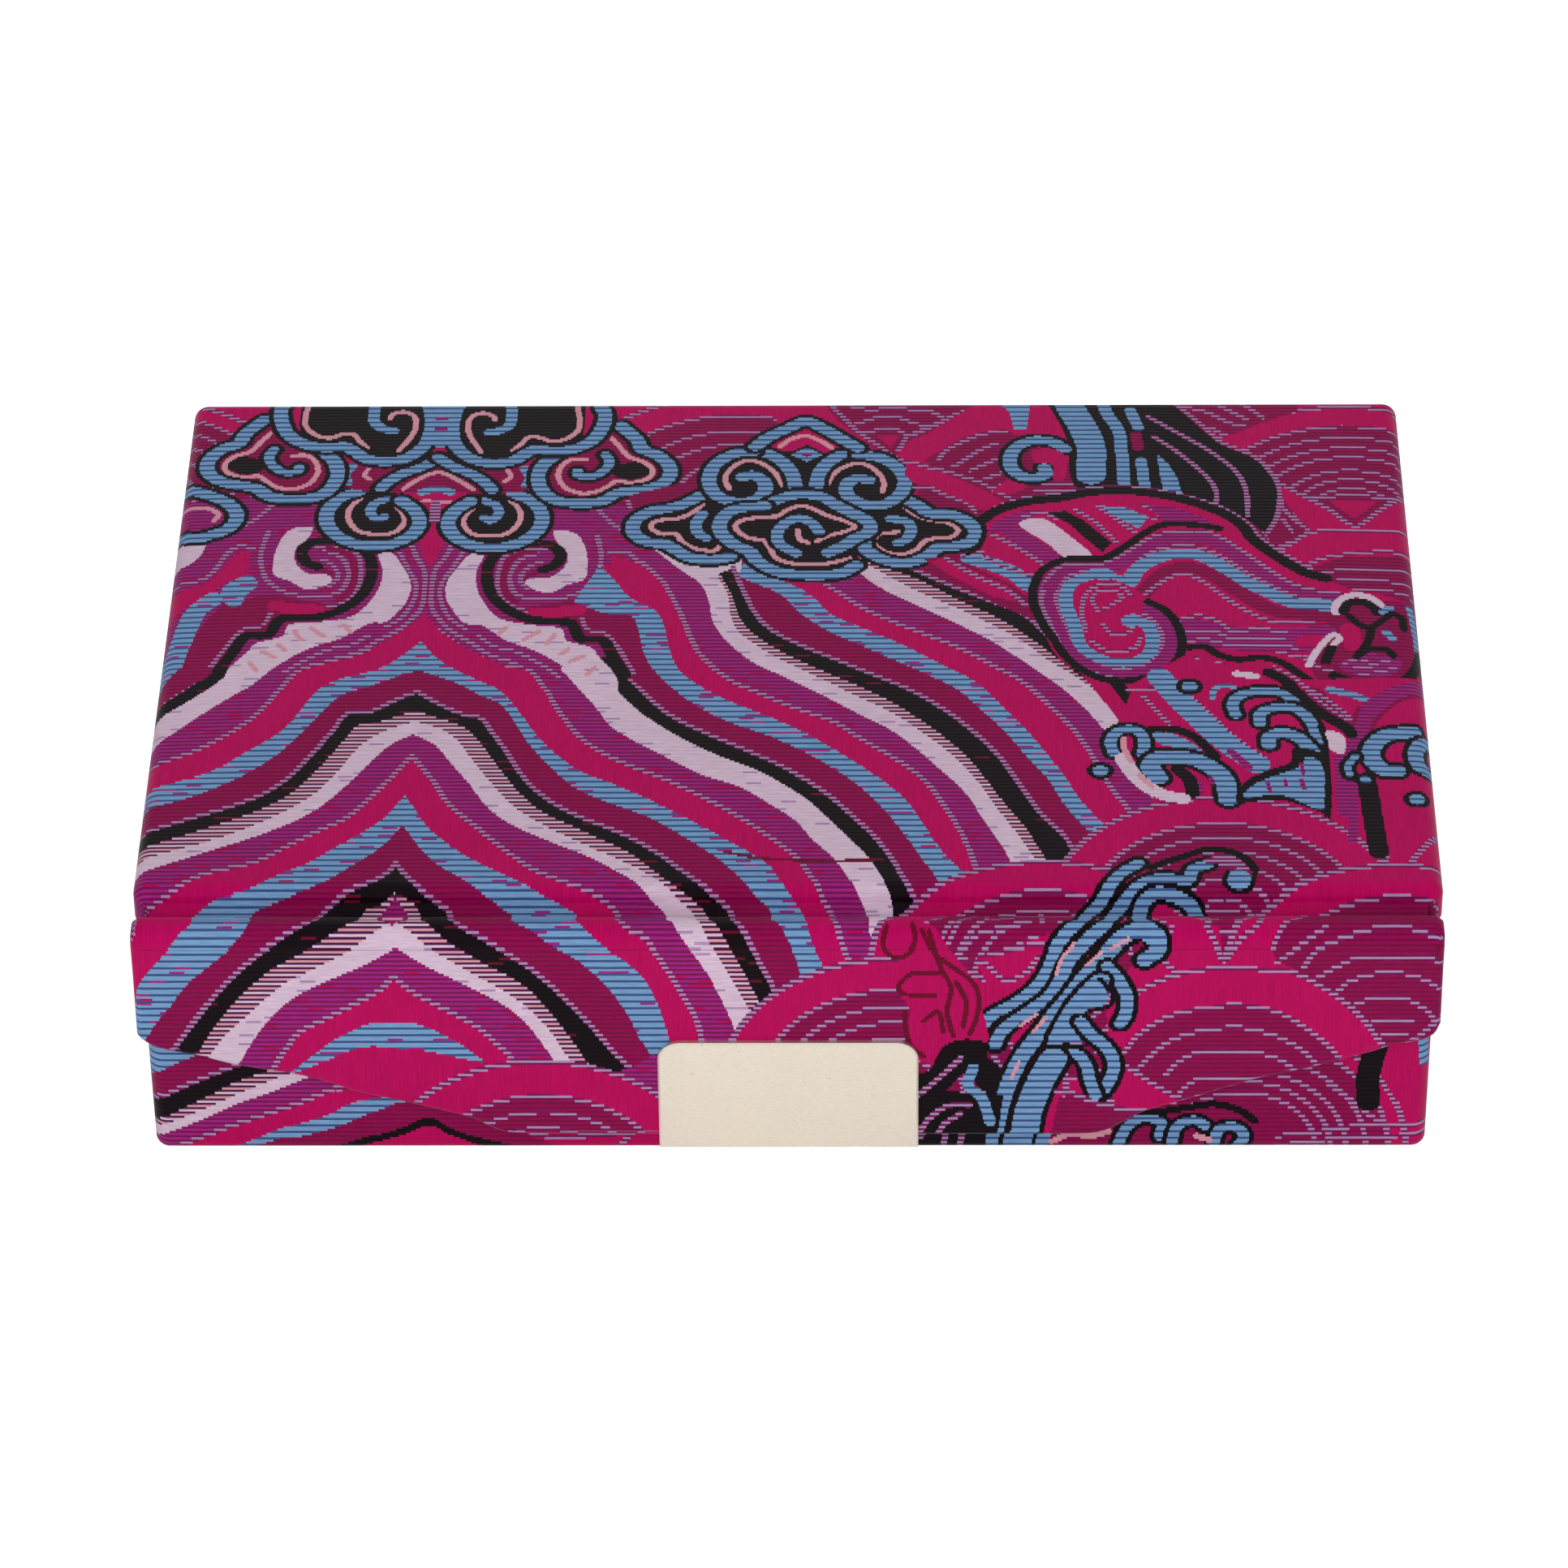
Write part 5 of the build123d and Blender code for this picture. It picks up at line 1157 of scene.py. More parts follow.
    def make(self, name, material):
        """Build the mesh, with a yarn number on each face and two maps: the flat cloth, and the bake's.
        Cloth runs right and down, so its faces are turned round to point outwards."""
        faces, co = np.concatenate(self.faces)[:, ::-1], np.concatenate(self.points) * MM
        mesh = bpy.data.meshes.new(name)
        mesh.from_pydata(co, [], faces)
        yarn = mesh.attributes.new("yarn", "FLOAT", "FACE")
        yarn.data.foreach_set("value", np.concatenate(self.yarns).astype(np.float32))
        for label, maps, scale in (("cloth", self.cloth, 0.01), ("OFBake", self.bake, 1)):
            uv = np.concatenate(maps)[:, ::-1] * scale
            mesh.uv_layers.new(name=label).data.foreach_set("uv", uv.astype(np.float32).ravel())
        mesh.uv_layers["cloth"].active = mesh.uv_layers["cloth"].active_render = True
        mesh.polygons.foreach_set("use_smooth", np.ones(len(faces), bool))
        mesh.set_sharp_from_angle(angle=SHARP)
        mesh.materials.append(material)
        print(name, len(faces), "triangles,", round(self.flat / 100, 1), "square cm of cloth")
        return added(name, mesh)


print("one square centimetre of cloth has", round(10 / WEFT), "wefts of", round(10 / STEP), "steps")

# %% [markdown]
# Each piece of cloth is laid by a function from flat cloth to space, so the figure isn't stretched.
# Over the lid the cloth is flat with a low crown, and at the edges it rolls round a 1.2 mm
# corner. In a corner of the lid the distance to the flat part's own corner says how far round it is.

# %% Laying cloth over the lid
LID_X, LID_FRONT, LID_BACK, LID_UNDER, LID_TOP = 51.5, -30.4, 36.0, 21.4, 25.0
CROWN, ROUND = 0.4, 1.2
QUARTER = ROUND * math.pi / 2
CORE_X, CORE_FRONT, CORE_BACK = LID_X - ROUND, LID_FRONT + ROUND, LID_BACK - ROUND
LID_MIDDLE, LID_REACH = (CORE_FRONT + CORE_BACK) / 2, (CORE_BACK - CORE_FRONT) / 2


def crowned(x, y):
    """Height of the lid: 0.4 mm higher in the middle, falling as a parabola to the front and back,
    and only near the ends to the left and right."""
    across, along = x / CORE_X, (y - LID_MIDDLE) / LID_REACH
    return LID_TOP + CROWN * (1 - along**2) * (1 - across**6)


lid_ys = np.linspace(CORE_BACK, CORE_FRONT, 161)
lid_zs = crowned(0 * lid_ys, lid_ys)
lid_way = QUARTER / 2 + way_along(np.stack([lid_ys, lid_zs], 1))
V_BACK, V_FRONT = lid_way[0], lid_way[-1]


def lid_top(u, v):
    """A point of the cloth on the lid: flat inside the core, and beyond it turned down by the distance
    to the core over the edge's radius, in radians, then straight down."""
    x, way = np.clip(u, -CORE_X, CORE_X), np.clip(v, V_BACK, V_FRONT)
    y = np.interp(way, lid_way, lid_ys)
    du, dv = u - x, way - v
    far = np.hypot(du, dv)
    safe = np.maximum(far, 1e-9)
    turn = np.minimum(far / ROUND, math.pi / 2)
    out = ROUND * np.sin(turn)
    down = ROUND * (1 - np.cos(turn)) + np.maximum(far - QUARTER, 0)
    return np.stack([x + out * du / safe, y + out * dv / safe, crowned(x, y) - down], 1)


def wefts(first, last, start=0.0, least=0.05):
    """The weft's edges between two places, in step with a cartoon that starts at start. A weft
    thinner than the least joins its neighbour."""
    steps = start + WEFT * np.arange(math.ceil((first - start) / WEFT), math.ceil((last - start) / WEFT))
    steps = steps[(steps > first + least) & (steps < last - least)]
    return np.concatenate([[first], steps, [last]])


class Ring:
    """The way round a rectangle with round corners: s is 0 at the middle of the front and grows to
    the right. It gives the core point and the outward direction."""

    def __init__(self, half_x, front, back):
        self.x, self.y, self.middle = half_x - ROUND, (back - front) / 2 - ROUND, (back + front) / 2
        self.marks = np.cumsum([self.x, QUARTER, 2 * self.y, QUARTER, self.x])
        self.end = self.marks[-1]

    def at(self, s):
        side, s = np.where(s < 0, -1.0, 1.0), np.abs(s)
        a, b, c, d, _ = self.marks
        x = np.select([s < a, s < d], [s, self.x + 0 * s], self.x - (s - d))
        y = np.select([s < b, s < c], [-self.y + 0 * s, -self.y + (s - b)], self.y + 0 * s)
        turn = np.clip((s - a) / ROUND, 0, math.pi / 2) + np.clip((s - c) / ROUND, 0, math.pi / 2)
        return side * x, y, side * np.sin(turn), -np.cos(turn)

    def place(self, s, inset, z):
        """A point at a steady inset from the outside: the corners shrink to nothing, then the sides do."""
        x, y, nx, ny = self.at(s)
        out, within = np.maximum(ROUND - inset, 0), np.maximum(inset - ROUND, 0)
        x, y = x * (1 - within / self.x), y * (1 - within / self.y)
        return np.stack([x + nx * out, self.middle + y + ny * out, z], 1)

    def bends(self):
        corner = QUARTER * np.arange(8) / 7
        marks = np.concatenate([self.marks[0] + corner, self.marks[2] + corner])
        return np.concatenate([-marks, marks])

    def ends(self, lines):
        return even(lines, -self.end, self.end)


ARC = 9


def bent(corners, radii):
    """A section with round corners, and the way along it: straight runs, and at each right-angled
    corner a quarter circle of ARC points that starts and ends one radius from the corner."""
    corners = np.array(corners, float)
    track = [corners[0]]
    for before, corner, after, r in zip(corners[:-2], corners[1:-1], corners[2:], radii):
        a, b = (p / np.linalg.norm(p) for p in (before - corner, after - corner))
        t = np.linspace(0, math.pi / 2, ARC)[:, None]
        track += list(corner + r * (a + b) - r * (b * np.cos(t) + a * np.sin(t)))
    track = np.array(track + [corners[-1]])
    return track, way_along(track)


lid_ring = Ring(LID_X, LID_FRONT, LID_BACK)
skirt, skirt_way = bent([(0, LID_TOP - ROUND), (0, LID_UNDER), (5.0, LID_UNDER)], [0.3])


def lid_skirt(s, w):
    """The lid's side and the hem under it: w is the way down from the end of the rolled edge."""
    return lid_ring.place(s, *on(skirt, skirt_way, w))


def lid_flat(s, w):
    """Where a point of the lid's side is on the flat cloth: further out from the top's core."""
    x, y, nx, ny = lid_ring.at(s)
    way = np.interp(-(y + lid_ring.middle), -lid_ys, lid_way)
    return np.stack([x + nx * (QUARTER + w), way - ny * (QUARTER + w)], -1)


def figure(flat):
    """The lid's figure, at the places on the flat cloth that a function gives."""
    return lambda u, v: lid_cartoon.at(*flat(u, v).T)


print("the lid's flat top is", round(V_FRONT - V_BACK, 2), "mm of cloth from back to front")

# %% [markdown]
# One material serves all the silk. The yarn number picks its colour from a ramp with hard steps.
# Warp threads run from back to front, and show as fine upright streaks in the crimson satin.
# Wefts run across, and stand out in the coloured bands, so the bump follows the weft there.

# %% Brocade material
def brocade_paint():
    paint = Paint("silk_brocade", Sheen_Weight=0.02, Sheen_Roughness=0.4, Specular_IOR_Level=0.06)
    yarn = paint.node("ShaderNodeAttribute", {"attribute_name": "yarn"}, {}, out=2)
    cloth = paint.node("ShaderNodeUVMap", {"uv_map": "cloth"})
    count = len(DYES)
    stops = [(k / count, dye(*DYES[k])) for k in sorted(DYES)]
    ramp = {"interpolation": "CONSTANT", "stops": stops}
    colour = paint.node("ShaderNodeValToRGB", ramp, {0: (yarn + 0.5) / count})
    # the flat cloth's map is in tenths of a metre, so 0.01 of it is one millimetre
    warp = paint.noise(paint.stretched(cloth, (1000, 34, 1)), 1.0, 3, 0.6)
    weft = paint.noise(paint.stretched(cloth, (60, 900, 1)), 1.0, 2, 0.6)
    wide = paint.noise(cloth, 9.0, 3, 0.6)
    satin = 1 - (yarn - 0.5).limited()
    thread = warp * satin + weft * (1 - satin)
    shade = thread.between(0.25, 0.8) * 0.55 + wide * 0.3
    dark = paint.mix(0.72, colour, dye(0, 0, 0), "MULTIPLY")
    colour = paint.mix((1 - shade) * 0.62, colour, dark)
    across = paint.node("ShaderNodeSeparateXYZ", {}, {0: cloth}, out=1)
    ridge = (across * (100 * math.pi / WEFT)).sine() * 0.5 + 0.5
    height = thread * 0.6 + ridge * (1 - satin) * 0.5
    return paint.set(Base_Color=colour, Roughness=0.5 - thread * 0.16, Normal=paint.bump(height, 0.00005, 0.55))


brocade = brocade_paint()
print(brocade.name, "has", len(brocade.node_tree.nodes), "nodes")

# %% [markdown]
# The lid's brocade is stretched over thin wadding and turned under the edges of its board. It is
# one piece of two panels: the top with its rolled edges, and the sides with their hem. The second
# looks up its yarns where it lies on the flat cloth, so the figure runs on over the edge.

# %% Weave the lid
lid_cloth = Cloth(panels=2)
lines = wefts(V_BACK - QUARTER, V_FRONT + QUARTER, -30)
beyond = np.maximum(V_BACK - lines, 0) + np.maximum(lines - V_FRONT, 0)
half = CORE_X + np.sqrt(np.maximum(QUARTER**2 - beyond**2, 0))
rolled = CORE_X + QUARTER * np.arange(7) / 7
lid_cloth.panel(lid_top, lines, np.stack([-half, half], 1), lid_cartoon.at, bends=np.concatenate([-rolled, rolled]))
lines = wefts(0, skirt_way[-1])
lid_cloth.panel(lid_skirt, lines, lid_ring.ends(lines), figure(lid_flat), lid_ring.bends(), lid_flat)
lid_brocade = lid_cloth.make("lid_brocade", brocade)
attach(lid_brocade, "lid")
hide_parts("lid_cover", "lid_wadding")
REACH = QUARTER + skirt_way[-1]
2 * (CORE_X + REACH) * MM
(V_FRONT - V_BACK + 2 * REACH) * MM

# %% [markdown]
# The tray's brocade is one band round the four walls. It goes down inside them a little way from
# the rim, and its hem is turned in under the base. Its section is a bent line, and the ring
# carries that line round the box.

# %% Weave the tray
tray_ring = Ring(TRAY_W / 2, LID_BACK - TRAY_D, LID_BACK)
wall, wall_way = bent([(2.4, 19.3), (2.4, TRAY_H), (0, TRAY_H), (0, 0), (3.0, 0)], [0.3, 0.3, 0.8])
# the outer face starts where the second corner ends, and v is 0 where it would meet the rim
outer = 2 * ARC
TO_RIM = wall_way[outer] - (TRAY_H - wall[outer, 1])


def tray_wall(s, v):
    """The tray's cloth: v is the depth below the rim on the outer face, and less than 0 over the rim."""
    return tray_ring.place(s, *on(wall, wall_way, v + TO_RIM))


tray_cloth = Cloth()
lines = wefts(-TO_RIM, wall_way[-1] - TO_RIM, -8)
tray_cloth.panel(tray_wall, lines, tray_ring.ends(lines), wall_cartoon.at, tray_ring.bends())
tray_brocade = tray_cloth.make("tray_brocade", brocade)
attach(tray_brocade, "tray")
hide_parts("tray_cover")
wall_way[-1] * MM

# %% [markdown]
# The flap hangs from the lid by the cloth alone. Its outline was read from the photograph: padded
# slopes to the left and right that aren't quite alike, and a flat tip that the clasp covers.
# Round that outline the cloth rolls to the back. Along the crest it rolls with a wide radius.

# %% The flap's outline
FACE, BACK_FACE, CREST, TIP, FLAP_X = -35.5, -33.0, 24.8, 3.85, 51.3
SHOULDER, STRAIGHT_TO, HEM = 0.8, 20.5, 3
# radii where the cloth rolls: over the crest from the groove and to the face, and round the back edge
CREST_BACK, CREST_FACE, BACK_EDGE = 0.6, 1.6, 0.4
slope_left = points("""
-51.35,15.2 -51.2,14.1 -49.7,12.95 -46.7,12.2 -44.4,11.4 -42,10.8 -39.6,10.35 -38,9.9 -35.9,9.1
-34.2,8.35 -30.5,7.3 -25.6,5.75 -24,4.8 -22.4,4.1 -19,3.95 -14,3.9 -9,3.86
""")
slope_right = points("""
51.35,15.4 50.9,14.3 49.8,13.6 47.8,13.2 46.2,12.5 44.1,11.8 40.9,10.7 37.3,9.75 35.7,9.1
34.1,8.5 32.4,7.8 31.3,7.4 28.9,6.5 27.7,5.9 26.4,4.95 24.8,4.1 22,3.87 9,3.86
""")
angles = np.radians(np.linspace(0, 90, 7))
shoulder = np.stack([FLAP_X + SHOULDER * (np.sin(angles) - 1), CREST + SHOULDER * (np.cos(angles) - 1)], 1)
outline = np.concatenate([
    [[0, CREST]], shoulder * [-1, 1], [[-FLAP_X, STRAIGHT_TO]], flow(slope_left), [[0, 3.86]],
    flow(slope_right)[::-1], [[FLAP_X, STRAIGHT_TO]], shoulder[::-1], [[0, CREST]]])
outline_way = way_along(outline)
ROUND_WAY = outline_way[-1]


print("the flap is", round(float(ROUND_WAY), 1), "mm round")


def rim(s):
    """The outline at a way s from the middle of the crest, to the left first and then round below."""
    return on(outline, outline_way, np.mod(s, ROUND_WAY))


ROLL_Z = CREST - CREST_FACE


def inner_rim(s):
    """The edge of the flap's flat face: an inset inside the outline, and hardly above the start of the
    crest's roll."""
    inset, step, squeezed = 0.5, 0.3, 0.03
    (x, z), (ax, az), (bx, bz) = rim(s), rim(s - step), rim(s + step)
    size = np.hypot(bx - ax, bz - az)
    z = z + inset * (bx - ax) / size
    return x - inset * (bz - az) / size, np.minimum(z, ROLL_Z + squeezed * (z - ROLL_Z))


def hem_rim(s):
    """The edge of the hem on the back, its width in: the outline drawn in towards its middle."""
    x, z = rim(s)
    middle = (CREST + TIP) / 2
    return x * (FLAP_X - HEM) / FLAP_X, middle + (z - middle) * (CREST - middle - HEM) / (CREST - middle)


def flap_roll(s, w):
    """The cloth from the face's edge round to the hem on the back. w runs 0 to 1 over the rolled edge,
    a quarter ellipse, to 2 straight back, to 3 round the back edge, and to 4 across the hem."""
    (xi, zi), (xo, zo), (xh, zh) = inner_rim(s), rim(s), hem_rim(s)
    deep = np.hypot(xo - xi, zo - zi)
    turn, back = np.clip(w, 0, 1) * math.pi / 2, np.clip(w - 2, 0, 1) * math.pi / 2
    straight, hem = np.clip(w - 1, 0, 1), np.clip(w - 3, 0, 1)
    r = np.where(zo > CREST - BACK_EDGE, CREST_BACK, BACK_EDGE)
    front_y, back_y = FACE + deep, BACK_FACE - r
    share = 1 - np.sin(turn)
    x, z = xo + (xi - xo) * share, zo + (zi - zo) * share
    hx, hz = xh - xo, zh - zo
    size = np.hypot(hx, hz)
    inward = r * (1 - np.cos(back)) + (size - r) * hem
    beyond = front_y + (back_y - front_y) * straight + r * np.sin(back)
    y = np.where(w <= 1, FACE + deep * (1 - np.cos(turn)), beyond)
    return np.stack([x + hx / size * inward, y, z + hz / size * inward], 1)


# %% [markdown]
# Between lid and flap the cloth lies in a shallow groove, the hinge. It comes down round the lid's
# front edge, crosses the groove and goes up and over the crest of the flap, and the figure goes on
# along it. So groove, face and rolled edges are three panels of one piece.

# %% The fold and the flap's cloth
groove = points("-30.4,23.8 -30.45,23.7 -30.7,23.45 -31.2,23.35 -31.8,23.4 -32.3,23.55 -32.7,23.85 -33.0,24.2")
groove_way = V_FRONT + QUARTER + way_along(groove)
CREST_FLAT, GROOVE_X, GROOVE_THICKNESS = 0.3, 50.3, 0.8
V_CREST = groove_way[-1] + CREST_BACK * math.pi / 2 + CREST_FLAT
V_FACE = V_CREST + CREST_FACE * math.pi / 2
print("crest and face begin at", round(V_CREST, 2), round(V_FACE, 2), "mm along the cloth")


def across_groove(u, v):
    """The groove: the way along the cloth gives a place on the section, the same from left to right."""
    return np.stack([u, *on(groove, groove_way, v)], 1)


def flap_face(u, v):
    """The flap's front: upright and flat, with v running down it."""
    return np.stack([u, 0 * u + FACE, ROLL_Z - (v - V_FACE)], 1)


def flap_flat(s, w):
    """Where a point of the rolled edge is on the flat cloth: beyond the face's edge by its way round."""
    (xi, zi), (xo, zo) = inner_rim(s), rim(s)
    dx, dz = xo - xi, zo - zi
    deep = np.hypot(dx, dz)
    # the ways along the straight part, the back edge and the hem are much the same all round
    way = deep * math.pi / 2 * np.clip(w, 0, 1) + np.interp(w, [1, 2, 3, 4], [0, 1.4, 2.1, 4.6])
    return np.stack([xi + dx / deep * way, V_FACE + ROLL_Z - zi - dz / deep * way], -1)


flap_cloth = Cloth(panels=3)
lines = wefts(groove_way[0], groove_way[-1], -30)
flap_cloth.panel(across_groove, lines, even(lines, -GROOVE_X, GROOVE_X), lid_cartoon.at,
                 thickness=GROOVE_THICKNESS, reverse=GOLD)
edge_s = np.linspace(0, ROUND_WAY, 2401)
edge_x, edge_z = inner_rim(edge_s)
lowest = edge_z.min()
lines = wefts(V_FACE, V_FACE + ROLL_Z - lowest, -30)
heights = np.clip(ROLL_Z - (lines - V_FACE), lowest + 0.01, ROLL_Z - 0.001)
ends = []
for z in heights:
    hit = np.flatnonzero((edge_z[:-1] > z) != (edge_z[1:] > z))
    x = edge_x[hit] + (edge_x[hit + 1] - edge_x[hit]) * (z - edge_z[hit]) / (edge_z[hit + 1] - edge_z[hit])
    ends.append([x.min(), x.max()])
flap_cloth.panel(flap_face, lines, np.array(ends), lid_cartoon.at)
# 11 rows of faces over the rolled edge, 5 straight back, 4 round the back edge and 5 across the hem
turns = np.interp(np.arange(26), [0, 11, 16, 20, 25], [0, 1, 2, 3, 4])
flap_cloth.panel(flap_roll, turns, even(turns, 0, ROUND_WAY), figure(flap_flat), outline_way, flap_flat)
flap_brocade = flap_cloth.make("flap_brocade", brocade)
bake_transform(flap_brocade)
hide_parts("flap_cover", "flap_wadding", "fold_cover", "fold_lining")
TURN_IN = 5
flap_cut = (2 * (FLAP_X + TURN_IN), V_FACE + ROLL_Z - TIP + TURN_IN - groove_way[0])
flap_cut[0] * MM
flap_cut[1] * MM

# %% [markdown]
# A strip across the back is the main hinge. Its figure goes on from the lid's, and it is pasted
# over the tray's own cloth, so its lower edge shows at the back.

# %% Weave the hinge strip
STRIP_X, STRIP_LOW, STRIP_HIGH, STRIP_OUT = 49.0, 12.9, 23.8, 0.05


def hinge_back(u, w):
    """The strip's face, from its upper edge down the back of the box. Seen from behind, it runs to the
    right, so x falls."""
    return np.stack([-u, 0 * u + LID_BACK + STRIP_OUT, STRIP_HIGH - w], 1)


def hinge_flat(u, w):
    """The lid's cloth goes on beyond its back rounding."""
    return np.stack([-u, -QUARTER / 2 - w], -1)


spine_cloth = Cloth()
lines = wefts(0, STRIP_HIGH - STRIP_LOW)
spine_cloth.panel(hinge_back, lines, even(lines, -STRIP_X, STRIP_X), figure(hinge_flat), cloth_at=hinge_flat)
spine_brocade = spine_cloth.make("spine_brocade", brocade)
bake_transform(spine_brocade)
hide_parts("spine_cover")

# %% [markdown]
# The inside is lined with gold silk over thin cards. It is plain satin: the long floats of the warp
# give it a sheen in one direction, and a pale thread now and then. The boards are pressed card with
# its grey fibres and specks, and the clasp is plain metal, brushed and a little cloudy. All of them
# are noises stretched along the grain, which need no image and stay sharp close up.

# %% Lining, card and metal finishes
def darker(colour, share):
    return dye(*(share * part for part in colour))


def satin_paint(name, colour, grain):
    paint = Paint(name, Sheen_Weight=0.25, Sheen_Roughness=0.35)
    place = paint.node("ShaderNodeTexCoord", out=3)
    warp = paint.noise(paint.stretched(place, grain), 1.0, 3, 0.6)
    wide = paint.noise(place, 60.0, 3, 0.55)
    shade = warp.between(0.3, 0.75) * 0.6 + wide * 0.4
    return paint.set(Base_Color=paint.mix(shade, darker(colour, 0.78), dye(*colour)),
                     Roughness=0.5 - warp * 0.15, Normal=paint.bump(warp, 0.00006, 0.5))


gold = satin_paint("gold_lining", (222, 176, 84), (9000, 700, 9000))
wine_cloth = satin_paint("base_cloth", (104, 20, 44), (3500, 3500, 3500))


def card_paint():
    paint = Paint("pressed_card")
    place = paint.node("ShaderNodeTexCoord", out=3)
    fibre = paint.noise(paint.stretched(place, (900, 900, 5200)), 1.0, 5, 0.7)
    speck = paint.noise(place, 3800.0, 2, 0.5).between(0.62, 0.7)
    colour = paint.mix(fibre.between(0.3, 0.7), dye(132, 116, 96), dye(171, 156, 134))
    colour = paint.mix(speck * 0.5, colour, dye(84, 72, 60))
    return paint.set(Base_Color=colour, Roughness=0.95 - fibre * 0.1, Normal=paint.bump(fibre + speck, 0.00008, 0.7))


def metal_paint(name, colour, rough, brushed, specks):
    paint = Paint(name, Metallic=1.0)
    place = paint.node("ShaderNodeTexCoord", out=3)
    grain = paint.noise(paint.stretched(place, brushed), 1.0, 4, 0.6)
    cloudy = paint.noise(place, 240.0, 4, 0.6)
    tone = paint.mix(grain.between(0.3, 0.7) * 0.5 + cloudy * 0.5, darker(colour, 0.93), dye(*colour))
    pit = paint.noise(place, 2600.0, 2, 0.5).between(0.68, 0.76) * specks
    return paint.set(Base_Color=paint.mix(pit, tone, darker(colour, 0.6)),
                     Roughness=cloudy * 0.12 + grain * 0.08 + rough, Normal=paint.bump(grain - pit, 0.00002, 0.35))


card = card_paint()
plate_metal = metal_paint("clasp_metal", (236, 227, 211), 0.36, (2200, 2200, 9000), 0.25)
steel = metal_paint("steel", (176, 176, 178), 0.34, (600, 600, 9000), 0.5)
nickel = metal_paint("nickel", (206, 202, 194), 0.22, (1500, 1500, 1500), 0.2)
FINISH = {name: finish for finish, names in (
    (card, "base_board front_wall_board back_wall_board left_wall_board right_wall_board lid_board flap_board"),
    (card, "lid_wadding flap_wadding"), (brocade, "tray_cover lid_cover flap_cover fold_cover spine_cover"),
    (steel, "keeper_plate clasp_washer"), (nickel, "clasp_magnet"), (plate_metal, "clasp_plate"),
    (wine_cloth, "bottom_sheet")) for name in names.split()}
for name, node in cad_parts.items():
    node.data.materials.clear()
    node.data.materials.append(FINISH.get(name, gold))
print(len(FINISH), "nodes have a finish of their own, and", len(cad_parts) - len(FINISH), "are gold")

# %% [markdown]
# Each lined card is a thin pad with soft edges. Every point of a fine box is pushed out from a
# smaller box inside it by the edge's radius, which rounds edges and corners alike.

# %% Lined cards and sheets
def box_of(node):
    """Two opposite corners of a node's box, in millimetres."""
    low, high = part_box(node)
    return np.array(low) / MM, np.array(high) / MM


def pad(name, radius, material, body, node, outline_at=None):
    """A rounded slab in a node's place. Points of a box grid are taken to the nearest point of the core,
    the box less the radius, and then the radius further on."""
    low, high = box_of(node)
    half, middle = (high - low) / 2, (high + low) / 2

    def marks(h, round_marks=5, gap=4):
        """Places along a side: a few in the radius at each end, and one each gap or so between them."""
        edge = np.linspace(h - radius, h, round_marks)
        flat = np.linspace(radius - h, h - radius, max(int(2 * h / gap), 2))
        return np.unique(np.concatenate([-edge, flat, edge]))

    steps = [marks(h) for h in half]
    grid, faces, count = [], [], 0
    for axis in range(3):
        a, b = (axis + 1) % 3, (axis + 2) % 3
        for side in (-1, 1):
            p, q = np.meshgrid(steps[a], steps[b], indexing="ij")
            at = np.zeros((p.size, 3))
            at[:, a], at[:, b], at[:, axis] = p.ravel(), q.ravel(), side * half[axis]
            index = count + np.arange(p.size).reshape(p.shape)
            quads = np.stack([index[:-1, :-1], index[1:, :-1], index[1:, 1:], index[:-1, 1:]], -1).reshape(-1, 4)
            faces.append(quads if side > 0 else quads[:, ::-1])
            grid.append(at)
            count += p.size
    at, faces = np.concatenate(grid), np.concatenate(faces)
    core = np.clip(at, -(half - radius), half - radius)
    out = at - core
    out /= np.maximum(np.linalg.norm(out, axis=1), 1e-9)[:, None]
    co = core + radius * out + middle
    if outline_at is not None:
        co = outline_at(co)
    _, first, where = np.unique(np.round(at, 4), axis=0, return_index=True, return_inverse=True)
    mesh = bpy.data.meshes.new(name)
    mesh.from_pydata(co[first] * MM, [], where.ravel()[faces])
    mesh.polygons.foreach_set("use_smooth", np.ones(len(faces), bool))
    mesh.materials.append(material)
    made = added(name, mesh)
    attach(made, body)
    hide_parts(node)
    size = [float(2 * half[k]) for k in range(3) if k != np.argmin(half)]
    print(name, len(faces), "faces,", [round(x, 1) for x in size], "mm")


for side in ("floor", "front", "back", "left", "right"):
    pad(side + "_lining_silk", 0.25, gold, "tray", side + "_lining")
pad("lid_lining_silk", 0.15, gold, "lid", "lid_lining")
pad("bottom_sheet_cloth", 0.15, wine_cloth, "tray", "bottom_sheet")

# %% [markdown]
# The flap's lining is cut to the flap's slanting outline. Its pad could be cut out of a rectangle,
# but moving each point to the same share of the way keeps the soft edge all round.

# %% The flap's lining follows its outline
def to_flap(co):
    """A rectangle's point goes to the same share of the way between the outline's left and right ends,
    and between its bottom and top."""
    low_x, high_x, low_z, high_z = co[:, 0].min(), co[:, 0].max(), co[:, 2].min(), co[:, 2].max()
    s = np.linspace(0, ROUND_WAY, 1201)
    x, z = hem_rim(s)
    low_rim = s[(z < (CREST + TIP) / 2)]
    bx, bz = hem_rim(low_rim)
    order = np.argsort(bx)
    share = (co[:, 0] - low_x) / (high_x - low_x)
    new_x = x.min() + share * (x.max() - x.min())
    floor_z = np.interp(new_x, bx[order], bz[order])
    out = co.copy()
    out[:, 0] = new_x
    out[:, 2] = floor_z + (co[:, 2] - low_z) / (high_z - low_z) * (z.max() - floor_z)
    return out


pad("flap_lining_silk", 0.15, gold, "flap", "flap_lining", outline_at=to_flap)
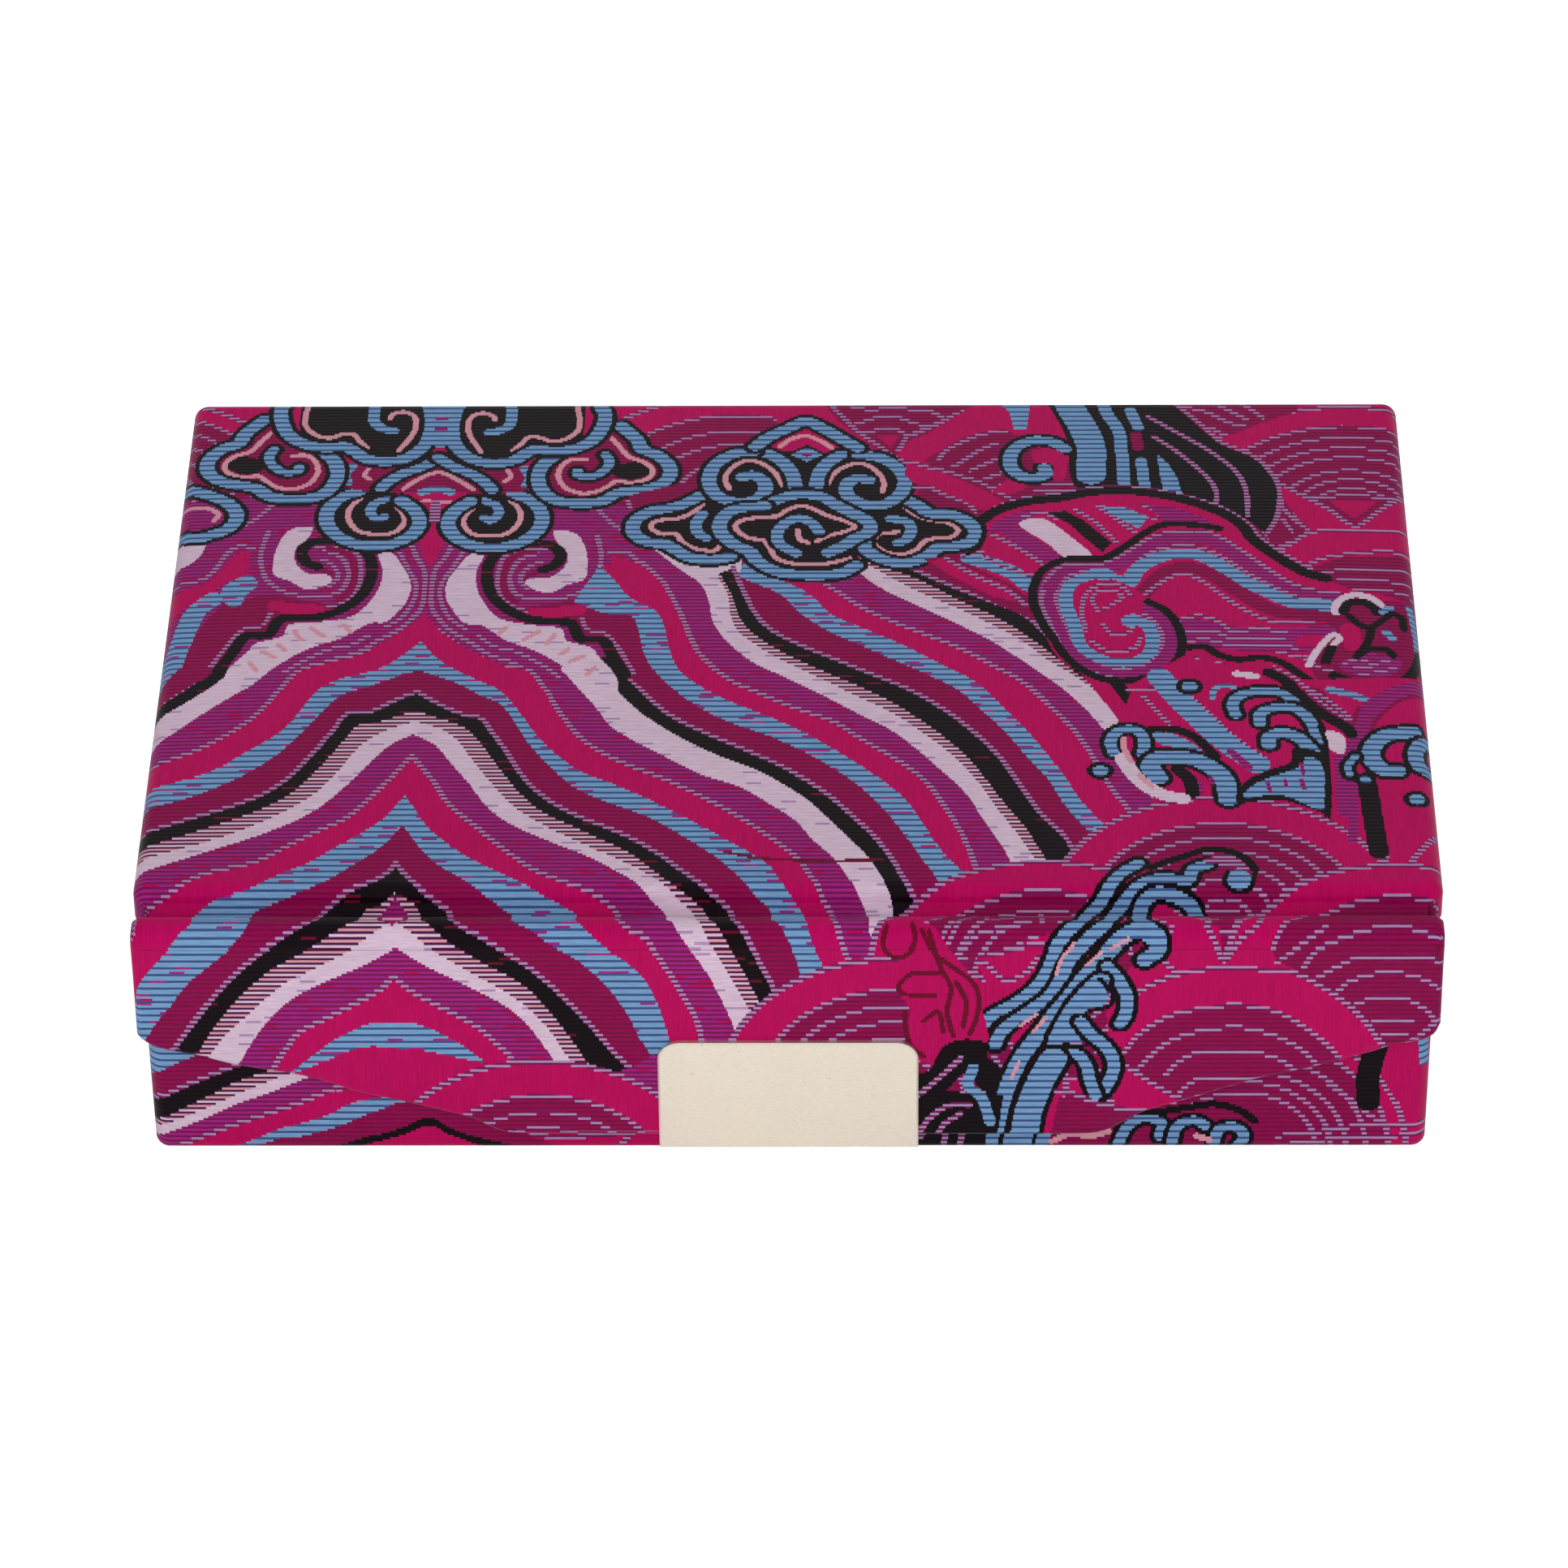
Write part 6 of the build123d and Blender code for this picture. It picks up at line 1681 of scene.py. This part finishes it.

# %% [markdown]
# Inside the back a strip of the lining silk covers the hinge. It comes up behind the back's card and turns forward
# under the lid's own lining.

# %% Lining over the hinge
hinge_run, hinge_way = bent([(33.3, 15.1), (33.3, 21.1), (29.0, 21.1)], [0.25])


def hinge_lining(u, w):
    """The strip's middle plane: w is the way up and then forward."""
    return np.stack([-u, *on(hinge_run, hinge_way, w)], 1)


low, high = box_of("spine_lining")
lining_cloth = Cloth()
lines = wefts(0, hinge_way[-1])
reach = min(-low[0], high[0])
lining_cloth.panel(hinge_lining, lines, even(lines, -reach, reach), lambda u, w: np.full(len(u), GOLD),
                   thickness=0.3, reverse=GOLD)
spine_silk = lining_cloth.make("spine_lining_silk", gold)
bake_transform(spine_silk)
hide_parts("spine_lining")
hinge_way[-1] * MM

# %% [markdown]
# The photograph has a white ground with hardly a shadow. The floor is a pale matt sheet, and what the
# camera sees of it and of the surroundings is lifted to white, which doesn't light the object.

# %% Floor and surroundings
def floor_paint():
    paint = Paint("white_floor", Roughness=0.9)
    seen = paint.node("ShaderNodeLightPath") + paint.node("ShaderNodeLightPath", out=3) * 0.35
    place = paint.node("ShaderNodeTexCoord", out=3)
    tone = paint.noise(place, 3.0, 2, 0.5)
    colour = paint.mix(tone, dye(244, 244, 244), dye(250, 250, 250))
    paint.shader.inputs["Emission Strength"].default_value = 0.7
    white = paint.mix(seen, dye(0, 0, 0), dye(255, 255, 255))
    return paint.set(Base_Color=colour, Emission_Color=white)


SIZE = 3.0
floor_mesh = bpy.data.meshes.new("floor")
floor_mesh.from_pydata([(-SIZE, -SIZE, 0), (SIZE, -SIZE, 0), (SIZE, SIZE, 0), (-SIZE, SIZE, 0)], [], [(0, 1, 2, 3)])
floor_mesh.materials.append(floor_paint())
floor = added("floor", floor_mesh)

world = bpy.data.worlds.new("surroundings")
bpy.context.scene.world = world
world.use_nodes = True
sky = world.node_tree
soft, shown, choose, path, either = (
    sky.nodes.new("ShaderNode" + kind) for kind in ("Background", "Background", "MixShader", "LightPath", "Math"))
for background, strength in ((soft, 0.34), (shown, 1.0)):
    background.inputs[0].default_value, background.inputs[1].default_value = (1, 1, 1, 1), strength
# the camera and mirror-like surfaces see white, and everything else is lit by less
either.operation = "MAXIMUM"
sky.links.new(path.outputs["Is Camera Ray"], either.inputs[0])
sky.links.new(path.outputs["Is Glossy Ray"], either.inputs[1])
sky.links.new(either.outputs[0], choose.inputs[0])
sky.links.new(soft.outputs[0], choose.inputs[1])
sky.links.new(shown.outputs[0], choose.inputs[2])
out = next(n for n in sky.nodes if n.type == "OUTPUT_WORLD")
sky.links.new(choose.outputs[0], out.inputs[0])
print("floor", 2 * SIZE, "m wide")


# %% [markdown]
# Two large soft lamps light the box, one in front of it and one behind, both high up. A small lamp
# would throw hard shadows and glints, which the photograph doesn't have.

# %% Lamps
BOX_MIDDLE = Vector((0, 0, 0.01))


def softbox(name, at, size, power):
    """A square area light that faces the box."""
    data = bpy.data.lights.new(name, "AREA")
    data.shape, data.size, data.energy = "SQUARE", size, power
    lamp = added(name, data)
    aim = BOX_MIDDLE - Vector(at)
    lamp.matrix_world = Matrix.Translation(Vector(at)) @ aim.to_track_quat("-Z", "Y").to_matrix().to_4x4()
    # its mirror image would hide the clasp and veil the silk in views against the light
    lamp.visible_glossy = False
    print(name, power, "W at", round(aim.length, 2), "m")


softbox("front_lamp", (-0.1, -1.1, 0.75), 0.9, 12.5)
softbox("top_lamp", (0.3, 0.5, 1.3), 1.0, 4.8)

# %% [markdown]
# Cloth adds to the size of what it covers.

# %% The end
bpy.context.view_layer.update()
